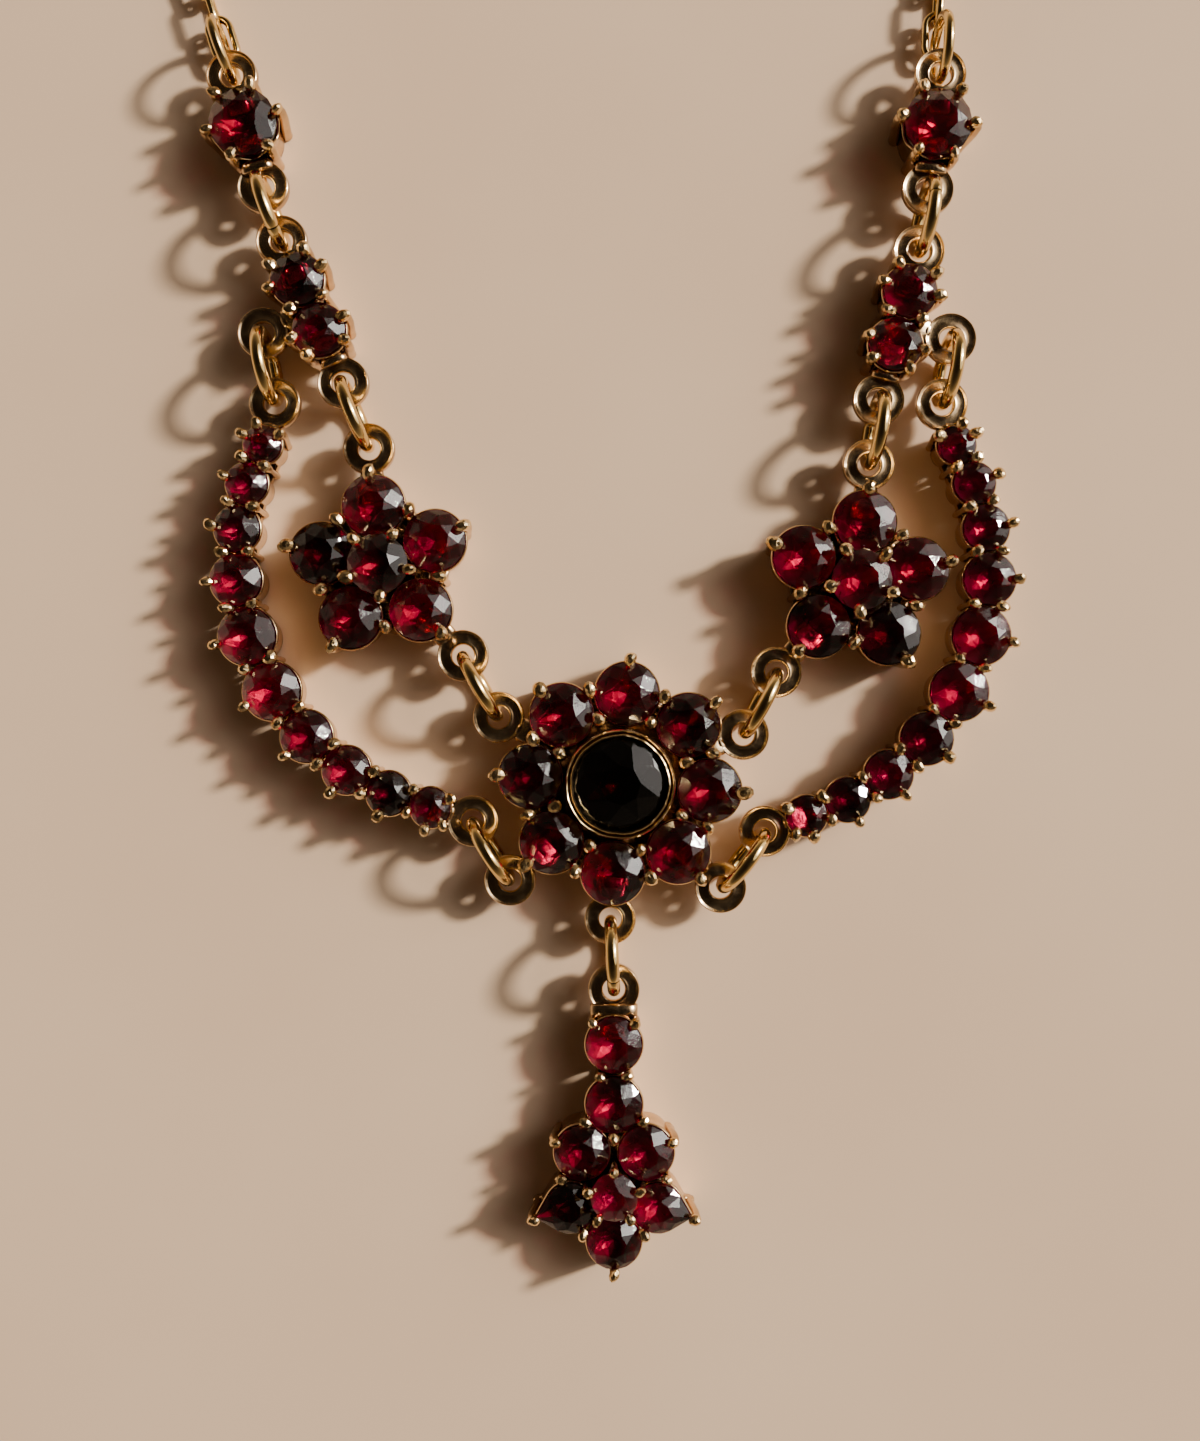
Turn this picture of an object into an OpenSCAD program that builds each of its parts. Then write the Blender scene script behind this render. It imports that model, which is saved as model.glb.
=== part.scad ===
// Cluster necklace of red garnets in a yellow metal, lying flat as a closed loop.
// Millimetres. Z is up, the necklace lies on z = 0 and the pendant points towards -Y.
// The origin is under the middle of the whole necklace's box.

/* [Stones] */
// Diameter of the eight stones round the centre
petal_d = 3.15; // [2.9:0.05:3.2]
// Diameter of the stone in the collar at the centre
centre_d = 4.76; // [4.4:0.02:4.8]
// Diameter of the five petals of each side flower
flower_d = 3.1; // [2.8:0.05:3.15]
// Diameter of the raised stone of each side flower
flower_heart_d = 3.0; // [2.6:0.05:3.05]
// Diameter of each stone of the double links
double_d = 2.66; // [2.4:0.02:2.7]
// Diameter of the stone of the single links
single_d = 3.4; // [3:0.1:3.5]
// Diameter of the two stones of the pendant's stem
stem_d = 2.8; // [2.5:0.05:2.8]
// Diameter of the two upper round stones of the pendant's cluster
shoulder_d = 2.75; // [2.5:0.05:2.75]
// Diameter of the lowest stone of the pendant
foot_d = 2.7; // [2.5:0.05:2.7]
// Diameter of the raised stone of the pendant
drop_heart_d = 2.35; // [2:0.05:2.35]
// Diameter of the round end of the pear-shaped stones
pear_d = 2.5; // [2.3:0.05:2.5]
// Distance from the middle of a pear-shaped stone's round end to its point
pear_point = 1.75; // [1.6:0.05:1.75]

/* [Settings] */
// Height of the bottom of the girdle of the low stones
girdle_z = 2.3; // [2.2:0.05:2.4]
// Height of the bottom of the girdle of the raised stones
heart_z = 2.95; // [2.9:0.05:3.1]
// Height of the bottom of the girdle of the arcs' stones
arc_z = 2.2; // [2.1:0.05:2.3]
// Radius of the circle through the eight petals' middles
petal_circle = 4.5; // [4.45:0.05:4.6]
// Radius of the circle through a side flower's petals
flower_circle = 3.0; // [2.95:0.05:3.1]
// Distance between the two stones of a double link
double_pitch = 2.76; // [2.74:0.02:2.9]
// Radius of the curve that the arcs' stones follow
arc_r = 12.8; // [12.4:0.1:13.2]
// Gap between neighbouring stones in the arcs
arc_gap = 0.12; // [0.1:0.01:0.14]
// Outer radius of the collar round the centre stone
collar_r = 2.72; // [2.7:0.01:2.74]

/* [Lugs and rings] */
// Outer radius of a lug
lug_r = 1.3; // [1.2:0.05:1.35]
// Radius of the hole in a lug
lug_hole_r = 0.65; // [0.64:0.01:0.68]
// Thickness of a lug
lug_t = 0.45; // [0.35:0.05:0.45]
// Height of the middle of the lugs
lug_z = 1.6; // [1.55:0.05:1.65]
// Radius of a jump ring, to the middle of its wire
ring_r = 1.7; // [1.69:0.01:1.71]
// Radius of a jump ring's wire
ring_wire_r = 0.325; // [0.3:0.005:0.33]
// Radius of the ring between the chain and the single link, to the middle of its wire
end_ring_r = 1.5; // [1.48:0.01:1.52]
// Radius of that ring's wire
end_ring_wire_r = 0.25; // [0.22:0.01:0.25]

/* [Chain] */
// Links in each half of the chain, an odd number
links_per_side = 83; // [75:2:83]
// Length of a link over its wire
link_len = 2.6; // [2.6:0.05:2.8]
// Width of a link over its wire
link_wid = 1.5; // [1.45:0.01:1.55]
// Radius of a link's wire
link_wire_r = 0.19; // [0.17:0.01:0.19]
// Clear gap between the wires of two links that hang in each other
link_gap = 0.105; // [0.105:0.005:0.12]
// Angle that the chain leaves the left single link at
chain_heading = 108; // [106:1:109]

/* [Hidden] */
$fn = 64;

// Names of the stones and rings that are nodes of their own
SIDES = ["left", "right"];
PETAL_NODES = [for (k = [1:8]) str("centre_petal_", k)];
DOUBLE_NODES = [for (s = SIDES, k = [1:2]) str(s, "_double_stone_", k)];
DROP_STONES = ["stem_stone_1", "stem_stone_2", "shoulder_stone_left", "shoulder_stone_right",
    "pear_stone_left", "pear_stone_right", "foot_stone", "pendant_heart_stone"];
RING_NODES = ["ring_left_single_double", "ring_left_double_flower", "ring_left_double_arc",
    "ring_left_flower_centre", "ring_left_arc_centre", "ring_right_single_double",
    "ring_right_double_flower", "ring_right_double_arc", "ring_right_flower_centre",
    "ring_right_arc_centre", "ring_pendant"];
SIDE_PARTS = ["single_setting", "single_stone", "double_setting", "flower_setting",
    "flower_heart_stone", "flower_petals", "arc_setting", "arc_stones", "end_ring", "chain"];
SIDE_NODES = [for (s = SIDES, p = SIDE_PARTS) str(s, "_", p)];

// Places of the pieces on the surface: x, y, turn about Z, measured from the middle of the front
CENTRE_AT = [1.0, -3.15, -4.5];
PENDANT_AT = [0.7, -23.57, 0];
// One row per side, left and right
FLOWER_AT = [[-11.0, 7.75, 6.4], [12.95, 6.95, -5.9]];
DOUBLE_AT = [[-14.6, 20.8, 23.5], [15.15, 20.15, -15.2]];
SINGLE_AT = [[-17.85, 29.9, 15.7], [16.9, 29.9, -6.3]];
ARC_AT = [[-17.1, 2.7, 24.8], [18.6, 2.7, -22.0]];

// Lugs of each piece in its own frame: distance from the middle, angle, length of the neck inwards
CENTRE_LUGS = [[6.96, 156, 2.2], [6.7, 26, 2.2], [7.4, 226, 1.8], [7.33, 318.5, 1.8], [6.88, 270.5, 1.2]];
FLOWER_LUGS = [[6.0, 90, 1.8], [6.06, -54, 1.8]];
DOUBLE_LUGS = [[3.7, 90, 1.4], [4.1, 270, 1.7], [2.7, 184, 1.8]];
SINGLE_LUGS = [[2.75, 90, 1.3], [3.1, 270, 1.6]];
PENDANT_LUGS = [[10.0, 90, 1.4]];
// Lugs of an arc: distance from the end stone, turn away from the curve
ARC_LUGS = [[2.25, 14], [2.2, -5]];

// Sizes that every stone and claw is worked out from
girdle_t = 0.12;
crown_share = 0.47;
pavilion_share = 0.76;
table_share = 0.55;
star_share = 0.76;
seat_gap = 0.17;
seat_step = 0.3;
wall_out = 0.1;
wall_in = 0.1;
foot_in = 0.2;
claw_off = 0.22;
ball_r = 0.3;
mid_ball_r = 0.27;
small_ball_r = 0.25;
small_claw_off = 0.2;
rib_r = 0.14;
foot_r = 0.2;
wide_foot_r = 0.26;
neck_wide = 1.2;
block_tall = 0.8;
heart_cup_in = 0.34;
heart_cup_low = 0.1;
base_t = 0.5;
// Height of the bottom of the centre stone's girdle
centre_z = 2.94;
// Height that the standing rings keep over the surface
rest_clear = 0.005;
// Radii of the claws between the centre's petals and between a flower's petals
petal_between_out = 4.95;
petal_between_in = 3.36;
flower_between = 3.12;

// Stones of an arc, from its top end down: diameter
ARC_D = [1.9, 2.1, 2.3, 2.6, 2.9, 2.9, 2.6, 2.4, 2.2, 2.0];

// Stones of the pendant in its own frame: x, y, diameter, girdle height
STEM_1 = [0, 7.35];
STEM_2 = [0, 4.35];
SHOULDER = [1.6, 1.95];
PEAR = [2.2, -0.8];
pear_turn = -15;
FOOT = [0, -2.48];
FOOT_CLAW = [0, FOOT[1] - foot_d / 2 - claw_off];

gold = [0.83, 0.66, 0.36];
garnet = [0.42, 0.02, 0.06];

function turn(p, a) = [p[0] * cos(a) - p[1] * sin(a), p[0] * sin(a) + p[1] * cos(a)];
function placed(at, p) = [at[0], at[1]] + turn(p, at[2]);
function polar(r, a) = [r * cos(a), r * sin(a)];
// Mirrors a point of the left piece for the right one, side 0 is left
function sided(side, p) = side == 0 ? p : [-p[0], p[1]];

// Distance along an arc's curve from its middle to each of its stones
function arc_sum(i) = i <= 0 ? 0 : arc_sum(i - 1) + (ARC_D[i - 1] + ARC_D[i]) / 2 + arc_gap;
ARC_S = [for (i = [0:9]) arc_sum(i) - arc_sum(9) / 2];
// Angle on the curve, and a point at a distance out from the curve
function arc_angle(s) = s / arc_r * 180 / PI;
function arc_point(s, out) =
    [arc_r - (arc_r + out) * cos(arc_angle(s)), -(arc_r + out) * sin(arc_angle(s))];
ARC_LUG_TOP = arc_point(ARC_S[0], 0) + polar(ARC_LUGS[0][0], 90 + arc_angle(ARC_S[0]) + ARC_LUGS[0][1]);
ARC_LUG_END = arc_point(ARC_S[9], 0) + polar(ARC_LUGS[1][0], -90 + arc_angle(ARC_S[9]) + ARC_LUGS[1][1]);

// Places of all the lug holes that the rings pass through
function lug_at(at, lugs, i) = placed(at, polar(lugs[i][0], lugs[i][1]));
function side_lug(at, lugs, i, side) = placed(at, sided(side, polar(lugs[i][0], lugs[i][1])));
function arc_lug(end, side) = placed(ARC_AT[side], sided(side, end));
SPAN = [for (side = [0, 1]) each [
    [side_lug(SINGLE_AT[side], SINGLE_LUGS, 1, side), side_lug(DOUBLE_AT[side], DOUBLE_LUGS, 0, side)],
    [side_lug(DOUBLE_AT[side], DOUBLE_LUGS, 1, side), side_lug(FLOWER_AT[side], FLOWER_LUGS, 0, side)],
    [side_lug(DOUBLE_AT[side], DOUBLE_LUGS, 2, side), arc_lug(ARC_LUG_TOP, side)],
    [side_lug(FLOWER_AT[side], FLOWER_LUGS, 1, side), lug_at(CENTRE_AT, CENTRE_LUGS, side)],
    [arc_lug(ARC_LUG_END, side), lug_at(CENTRE_AT, CENTRE_LUGS, side + 2)]]];
DROP_SPAN = [lug_at(CENTRE_AT, CENTRE_LUGS, 4), lug_at(PENDANT_AT, PENDANT_LUGS, 0)];
RING_SPANS = concat(SPAN, [DROP_SPAN]);
ring_z = ring_r + ring_wire_r + rest_clear;

// The chain: distance along each half from the hole of the single link's upper lug
link_z = link_wid / 2;
link_pitch = link_len - 4 * link_wire_r - link_gap;
end_ring_at = 1.25;
end_ring_z = end_ring_r + end_ring_wire_r + rest_clear;
first_link_at = end_ring_at + 0.1 - link_wire_r + link_len / 2;
clasp_half = 4.0;
clasp_r = 1.5;
eye_r = 0.85;
eye_wire_r = 0.2;
eye_out = 0.9;
link_to_eye = 1.22;
eye_at = first_link_at + (links_per_side - 1) * link_pitch + link_to_eye;

// The route: a straight, a bend to the clasp at the top; the right half first bends out
bend_out = 20;
START = [for (side = [0, 1]) side_lug(SINGLE_AT[side], SINGLE_LUGS, 0, side)];
right_start = 90;
out_turn = chain_heading + right_start - 180;
hs = sin(chain_heading);
hc = cos(chain_heading);
ht = chain_heading * PI / 180;
out_r = bend_out / (out_turn * PI / 180);
out_dx = out_r * (sin(right_start) - sin(right_start - out_turn));
out_dy = out_r * (cos(right_start - out_turn) - cos(right_start));
clasp_reach = 2 * (clasp_half + eye_out);
wide = START[1][0] + out_dx - START[0][0] - clasp_reach;
sum_r = (wide - hc * (2 * eye_at - bend_out)) / (hs - hc * ht);
dif_r = (START[1][1] + out_dy - START[0][1] - hs * bend_out) / (1 - hc - hs * ht);
BEND_R = [(sum_r + dif_r) / 2, (sum_r - dif_r) / 2];
STRAIGHT = [eye_at - ht * BEND_R[0], eye_at - bend_out - ht * BEND_R[1]];
// Rows of length and turn for each half
ROUTES = [
    [[STRAIGHT[0], 0], [ht * BEND_R[0], -chain_heading], [clasp_half + eye_out, 0]],
    [[bend_out, -out_turn], [STRAIGHT[1], 0], [ht * BEND_R[1], chain_heading], [clasp_half + eye_out, 0]]];
HEADINGS = [chain_heading, right_start];

// Moves a place of x, y, heading along a length that turns evenly
function walk(p, len, turn) = turn == 0
    ? [p[0] + len * cos(p[2]), p[1] + len * sin(p[2]), p[2]]
    : let (r = len / (turn * PI / 180))
        [p[0] + r * (sin(p[2] + turn) - sin(p[2])), p[1] - r * (cos(p[2] + turn) - cos(p[2])), p[2] + turn];
function along(p, rows, s, i = 0) =
    s <= rows[i][0] || i == len(rows) - 1
        ? walk(p, s, rows[i][1] * s / rows[i][0])
        : along(walk(p, rows[i][0], rows[i][1]), rows, s - rows[i][0], i + 1);
function on_chain(side, s) = along([START[side][0], START[side][1], HEADINGS[side]], ROUTES[side], s);
CLASP_AT = on_chain(0, eye_at + clasp_half + eye_out);

// The middle of the whole necklace's box, which becomes the origin
left_x = START[0][0] + STRAIGHT[0] * hc + BEND_R[0] * (hs - 1) - link_wid / 2;
right_x = START[1][0] + out_dx - STRAIGHT[1] * hc + BEND_R[1] * (1 - hs) + link_wid / 2;
top_y = CLASP_AT[1] + clasp_r;
low_y = PENDANT_AT[1] + FOOT_CLAW[1] - mid_ball_r;
ORIGIN = [(left_x + right_x) / 2, (top_y + low_y) / 2];

module put(at) {
    translate([at[0] - ORIGIN[0], at[1] - ORIGIN[1], 0]) rotate([0, 0, at[2]]) children();
}

// Mirrors the left piece for the right side
module for_side(side) {
    mirror([side, 0, 0]) children();
}

// Half width of the outline at an angle, round or with a point at angle 0
function outline(r, point, a) =
    let (lean = acos(r / point), off = abs(a > 180 ? a - 360 : a))
        point <= r || off >= lean ? r : r / cos(lean - off);

// A faceted stone with a table, 8 stars, 8 kites and 16 girdle facets, its girdle's foot at height z
module stone(d, z, point = 0, table = table_share, crown = 0) {
    r = d / 2;
    tall = crown > 0 ? crown : crown_share * r;
    table_z = z + girdle_t + tall;
    girdle_top = z + girdle_t;
    star_z = table_z + (girdle_top - table_z) * (star_share * cos(22.5) - table) / (1 - table);
    ring_pts = function (share, n, shift, h) [for (k = [0:n - 1])
        let (a = (k + shift) * 360 / n, w = share * outline(r, point, a)) [w * cos(a), w * sin(a), h]];
    pts = concat(
        ring_pts(table, 8, 0, table_z),
        ring_pts(star_share, 8, 0.5, star_z),
        ring_pts(1, 16, 0, girdle_top),
        ring_pts(1, 16, 0, z),
        [[0, 0, z - pavilion_share * r]]);
    star = 8;
    top = 16;
    low = 32;
    culet = 48;
    faces = concat(
        [[7, 6, 5, 4, 3, 2, 1, 0]],
        [for (k = [0:7]) [k, (k + 1) % 8, star + k]],
        [for (k = [0:7]) [k, star + k, top + 2 * k]],
        [for (k = [0:7]) [k, top + 2 * k, star + (k + 7) % 8]],
        [for (k = [0:7]) [star + k, top + 2 * k + 1, top + 2 * k]],
        [for (k = [0:7]) [star + k, top + (2 * k + 2) % 16, top + 2 * k + 1]],
        [for (k = [0:15]) [top + k, top + (k + 1) % 16, low + (k + 1) % 16]],
        [for (k = [0:15]) [top + k, low + (k + 1) % 16, low + k]],
        [for (k = [0:15]) [low + k, low + (k + 1) % 16, culet]]);
    color(garnet) polyhedron(pts, faces, convexity = 2);
}

// The cup under a stone, closed; its inside is cut by hollow()
module cup(d, z) {
    r = d / 2;
    cylinder(h = z - seat_gap, r1 = r - foot_in, r2 = r + wall_out);
}

module hollow(d, z) {
    r = d / 2;
    translate([0, 0, -0.1]) cylinder(h = z - seat_gap, r1 = r * 0.42, r2 = r - wall_in - seat_step / 4);
    translate([0, 0, z - seat_gap - seat_step]) cylinder(h = 3, r = r - wall_in);
}

// A claw: a rib up the cup's side and a ball over the girdle
module claw(z, ball = ball_r, foot = rib_r) {
    tip_z = z + girdle_t + ball - 0.01;
    translate([0, 0, 0.15]) cylinder(h = tip_z - 0.15, r1 = foot, r2 = rib_r);
    translate([0, 0, tip_z]) sphere(r = ball);
}

// A flat bar between two points, from a height up
module bar(a, b, wide, z, tall) {
    translate([a[0], a[1], z]) rotate([0, 0, atan2(b[1] - a[1], b[0] - a[0])]) translate([0, -wide / 2, 0])
        cube([norm([b[0] - a[0], b[1] - a[1]]), wide, tall]);
}

// The low cup of a raised stone, or its inside
module heart_cup(d, inside = false) {
    if (inside) hollow(d - heart_cup_in, heart_z - heart_cup_low);
    else cup(d - heart_cup_in, heart_z - heart_cup_low);
}

// A lug's plate with its neck pointing to the piece's middle, and its hole
module lug(reach, a, neck) {
    rotate([0, 0, a]) translate([reach, 0, lug_z - lug_t / 2]) {
        cylinder(h = lug_t, r = lug_r);
        translate([-lug_r * 0.8 - neck, -neck_wide / 2, 0]) cube([neck + 0.2, neck_wide, lug_t]);
    }
}

module lug_hole(reach, a) {
    rotate([0, 0, a]) translate([reach, 0, lug_z - lug_t]) cylinder(h = 2 * lug_t, r = lug_hole_r);
}

// The raised collar of the centre stone, turned from one section
module collar() {
    r = collar_r;
    rotate_extrude() polygon([[1.5, 0], [r - 0.25, 0], [r - 0.08, 1.2], [r, 3.02], [r - 0.05, 3.34],
        [r - 0.2, 3.42], [r - 0.36, 3.36], [r - 0.39, 3.27], [r - 0.26, 3.21], [r - 0.26, 2.84],
        [r - 0.52, 2.72], [1.5, 0.9]]);
}

module centre_setting() {
    low_r = petal_circle + petal_d / 2 + claw_off;
    color(gold) put(CENTRE_AT) difference() {
        union() {
            collar();
            difference() {
                cylinder(h = base_t, r = petal_circle + 0.6);
                translate([0, 0, -1]) cylinder(h = base_t + 2, r = 1.6);
            }
            for (k = [0:7]) {
                rotate([0, 0, 45 * k]) translate([petal_circle, 0, 0]) cup(petal_d, girdle_z);
                rotate([0, 0, 45 * k + 22.5]) {
                    translate([petal_between_out, 0, 0]) claw(girdle_z, foot = foot_r);
                    translate([petal_between_in, 0, 0]) claw(girdle_z, mid_ball_r, foot_r);
                }
            }
            for (k = [0, 1, 2, 3, 4, 5, 7]) rotate([0, 0, 45 * k]) translate([low_r, 0, 0])
                claw(girdle_z, foot = wide_foot_r);
            for (row = CENTRE_LUGS) lug(row[0], row[1], row[2]);
        }
        for (k = [0:7]) rotate([0, 0, 45 * k]) translate([petal_circle, 0, 0]) hollow(petal_d, girdle_z);
        for (row = CENTRE_LUGS) lug_hole(row[0], row[1]);
    }
}

module centre_stone() {
    put(CENTRE_AT) stone(centre_d, centre_z, table = 0.42, crown = 0.82);
}

module centre_petal(k) {
    put(CENTRE_AT) rotate([0, 0, 45 * k]) translate([petal_circle, 0, 0]) stone(petal_d, girdle_z);
}

module flower_setting(side) {
    heart_claw = flower_heart_d / 2 + claw_off + 0.04;
    color(gold) put(FLOWER_AT[side]) for_side(side) difference() {
        union() {
            cylinder(h = base_t, r = flower_circle + 0.5);
            heart_cup(flower_heart_d);
            for (k = [0:4]) {
                rotate([0, 0, 90 + 72 * k]) {
                    translate([flower_circle, 0, 0]) cup(flower_d, girdle_z);
                    translate([flower_circle + flower_d / 2 + claw_off, 0, 0])
                        claw(girdle_z, foot = wide_foot_r);
                }
                rotate([0, 0, 126 + 72 * k]) {
                    translate([flower_between, 0, 0]) claw(girdle_z, foot = foot_r);
                    translate([heart_claw, 0, 0]) claw(heart_z, mid_ball_r, foot_r);
                }
            }
            for (row = FLOWER_LUGS) lug(row[0], row[1], row[2]);
        }
        heart_cup(flower_heart_d, inside = true);
        for (k = [0:4]) rotate([0, 0, 90 + 72 * k]) translate([flower_circle, 0, 0])
            hollow(flower_d, girdle_z);
        for (row = FLOWER_LUGS) lug_hole(row[0], row[1]);
    }
}

module flower_heart_stone(side) {
    put(FLOWER_AT[side]) for_side(side) stone(flower_heart_d, heart_z);
}

module flower_petals(side) {
    put(FLOWER_AT[side]) for_side(side) for (k = [0:4])
        rotate([0, 0, 90 + 72 * k]) translate([flower_circle, 0, 0]) stone(flower_d, girdle_z);
}

module double_setting(side) {
    half = double_pitch / 2;
    reach = double_d / 2 + claw_off;
    web = 1.4;
    low_block = -3.1;
    color(gold) put(DOUBLE_AT[side]) for_side(side) difference() {
        union() {
            translate([-web / 2, -half, 0]) cube([web, 2 * half, base_t]);
            translate([-web / 2, low_block, lug_z - 0.3]) cube([web, 0.4, block_tall]);
            for (s = [-1, 1]) {
                translate([0, s * half, 0]) cup(double_d, girdle_z);
                translate([0.95 * s, 0, 0]) claw(girdle_z, mid_ball_r, mid_ball_r);
                for (a = [0, 180, 48, 132]) translate([0, s * half, 0]) rotate([0, 0, s * a])
                    translate([reach, 0, 0]) claw(girdle_z, mid_ball_r, wide_foot_r);
            }
            for (row = DOUBLE_LUGS) lug(row[0], row[1], row[2]);
        }
        for (s = [-1, 1]) translate([0, s * half, 0]) hollow(double_d, girdle_z);
        for (row = DOUBLE_LUGS) lug_hole(row[0], row[1]);
    }
}

module double_stone(side, k) {
    put(DOUBLE_AT[side]) translate([0, (1.5 - k) * double_pitch, 0]) stone(double_d, girdle_z);
}

module single_setting(side) {
    big_ball_r = 0.32;
    block = 1.6;
    low_block = -2.3;
    color(gold) put(SINGLE_AT[side]) for_side(side) difference() {
        union() {
            cup(single_d, girdle_z);
            translate([-block / 2, low_block, lug_z - 0.3]) cube([block, 0.45, block_tall]);
            for (k = [0:5]) rotate([0, 0, 60 * k]) translate([single_d / 2 + claw_off + 0.04, 0, 0])
                claw(girdle_z, big_ball_r, big_ball_r);
            for (row = SINGLE_LUGS) lug(row[0], row[1], row[2]);
        }
        hollow(single_d, girdle_z);
        for (row = SINGLE_LUGS) lug_hole(row[0], row[1]);
    }
}

module single_stone(side) {
    put(SINGLE_AT[side]) stone(single_d, girdle_z);
}

// Places a child on the arc's curve, turned so that its X points out of the curve
module on_arc(s, out) {
    p = arc_point(s, out);
    translate([p[0], p[1], 0]) rotate([0, 0, 180 + arc_angle(s)]) children();
}

module arc_setting(side) {
    wide = 0.6;
    inner_out = 0.2;
    span = arc_angle(ARC_S[9] - ARC_S[0]);
    color(gold) put(ARC_AT[side]) for_side(side) difference() {
        union() {
            translate([arc_r, 0, 0]) rotate([0, 0, 180 - span / 2])
                rotate_extrude(angle = span) translate([arc_r - wide, 0]) square([2 * wide, base_t]);
            for (i = [0:9]) {
                on_arc(ARC_S[i], 0) cup(ARC_D[i], arc_z);
                on_arc(ARC_S[i], ARC_D[i] / 2 + small_claw_off) claw(arc_z, small_ball_r, foot_r);
            }
            for (i = [0:8]) {
                half = (ARC_S[i + 1] - ARC_S[i]) / 2;
                off = sqrt(pow(half - arc_gap / 2 + small_claw_off, 2) - half * half);
                middle = ARC_S[i] + ARC_D[i] / 2 + arc_gap / 2;
                on_arc(middle, off) claw(arc_z, small_ball_r);
                on_arc(middle, -off - inner_out) claw(arc_z, small_ball_r);
                on_arc(middle, 0) bar([-off - inner_out, 0], [off, 0], 0.4, 0, base_t);
            }
            for (i = [0, 9], a = [-38, 38]) {
                back = i == 0 ? -90 : 90;
                on_arc(ARC_S[i], 0) rotate([0, 0, back + a])
                    translate([ARC_D[i] / 2 + small_claw_off, 0, 0]) claw(arc_z, small_ball_r);
            }
            for (row = [[ARC_LUG_TOP, 0], [ARC_LUG_END, 9]]) {
                end = row[0];
                translate([end[0], end[1], lug_z - lug_t / 2]) cylinder(h = lug_t, r = lug_r);
                bar(end, arc_point(ARC_S[row[1]], 0), neck_wide, lug_z - lug_t / 2, lug_t);
            }
        }
        for (i = [0:9]) on_arc(ARC_S[i], 0) hollow(ARC_D[i], arc_z);
        for (end = [ARC_LUG_TOP, ARC_LUG_END]) translate([end[0], end[1], lug_z - lug_t])
            cylinder(h = 2 * lug_t, r = lug_hole_r);
    }
}

module arc_stones(side) {
    put(ARC_AT[side]) for_side(side) for (i = [0:9]) on_arc(ARC_S[i], 0) stone(ARC_D[i], arc_z);
}

// The pendant's cups, or their insides; a pear's point has a small cup of its own
module pendant_cups(inside) {
    rows = [[STEM_1, stem_d], [STEM_2, stem_d], [FOOT, foot_d],
        [SHOULDER, shoulder_d], [[-SHOULDER[0], SHOULDER[1]], shoulder_d],
        [PEAR, pear_d], [[-PEAR[0], PEAR[1]], pear_d]];
    for (row = rows) translate([row[0][0], row[0][1], 0]) {
        if (inside) hollow(row[1], girdle_z);
        else cup(row[1], girdle_z);
    }
    point_at = 0.72;
    point_low = 1.1;
    for (s = [-1, 1]) translate([s * PEAR[0], PEAR[1], 0]) rotate([0, 0, 90 - s * (90 - pear_turn)])
        translate([point_at, 0, 0]) {
            if (inside) translate([0, 0, point_low]) cylinder(h = 2, r = 0.66);
            else cylinder(h = girdle_z - 0.35, r1 = 0.6, r2 = 0.82);
        }
    heart_cup(drop_heart_d, inside);
}

module pendant_setting() {
    base_r = 2.7;
    block = 2.4;
    // Claws in the pendant's right half: x, y, girdle height, ball, foot
    side_claws = [[1.12, 8.58, girdle_z, mid_ball_r, foot_r], [0.8, 5.85, girdle_z, mid_ball_r, foot_r],
        [1.5, 3.62, girdle_z, mid_ball_r, foot_r], [3.04, 2.62, girdle_z, mid_ball_r, wide_foot_r],
        [2.72, 0.72, girdle_z, mid_ball_r, foot_r], [4.12, -1.32, girdle_z, mid_ball_r, wide_foot_r],
        [1.58, -2.125, girdle_z, mid_ball_r, 0.16], [1.4, 0.38, heart_z, mid_ball_r, 0.13],
        [0.84, -1.12, heart_z, mid_ball_r, 0.12]];
    middle_claws = [[0, 2.64, girdle_z, mid_ball_r, foot_r], [0, 1.42, heart_z, mid_ball_r, rib_r],
        [FOOT_CLAW[0], FOOT_CLAW[1], girdle_z, mid_ball_r, wide_foot_r]];
    color(gold) put(PENDANT_AT) difference() {
        union() {
            cylinder(h = base_t, r = base_r);
            bar([0, 0], STEM_1, 1.4, 0, base_t);
            translate([-block / 2, 8.55, lug_z - 0.3]) cube([block, 0.7, block_tall]);
            pendant_cups(false);
            for (row = middle_claws) translate([row[0], row[1], 0]) claw(row[2], row[3], row[4]);
            for (s = [-1, 1], row = side_claws) translate([s * row[0], row[1], 0])
                claw(row[2], row[3], row[4]);
            for (s = [-1, 1], k = [3, 5])
                bar([0, 0], [s * side_claws[k][0], side_claws[k][1]], 0.5, 0, base_t);
            bar([-side_claws[2][0], side_claws[2][1]], [side_claws[2][0], side_claws[2][1]], 0.4, 0, base_t);
            for (row = PENDANT_LUGS) lug(row[0], row[1], row[2]);
        }
        pendant_cups(true);
        for (row = PENDANT_LUGS) lug_hole(row[0], row[1]);
    }
}

module drop_stone(i) {
    put(PENDANT_AT) {
        if (i == 0) translate([STEM_1[0], STEM_1[1], 0]) stone(stem_d, girdle_z);
        if (i == 1) translate([STEM_2[0], STEM_2[1], 0]) stone(stem_d, girdle_z);
        if (i == 2) translate([-SHOULDER[0], SHOULDER[1], 0]) stone(shoulder_d, girdle_z);
        if (i == 3) translate([SHOULDER[0], SHOULDER[1], 0]) stone(shoulder_d, girdle_z);
        if (i == 4) translate([-PEAR[0], PEAR[1], 0]) rotate([0, 0, 180 - pear_turn])
            stone(pear_d, girdle_z, point = pear_point);
        if (i == 5) translate([PEAR[0], PEAR[1], 0]) rotate([0, 0, pear_turn])
            stone(pear_d, girdle_z, point = pear_point);
        if (i == 6) translate([FOOT[0], FOOT[1], 0]) stone(foot_d, girdle_z);
        if (i == 7) stone(drop_heart_d, heart_z);
    }
}

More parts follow.
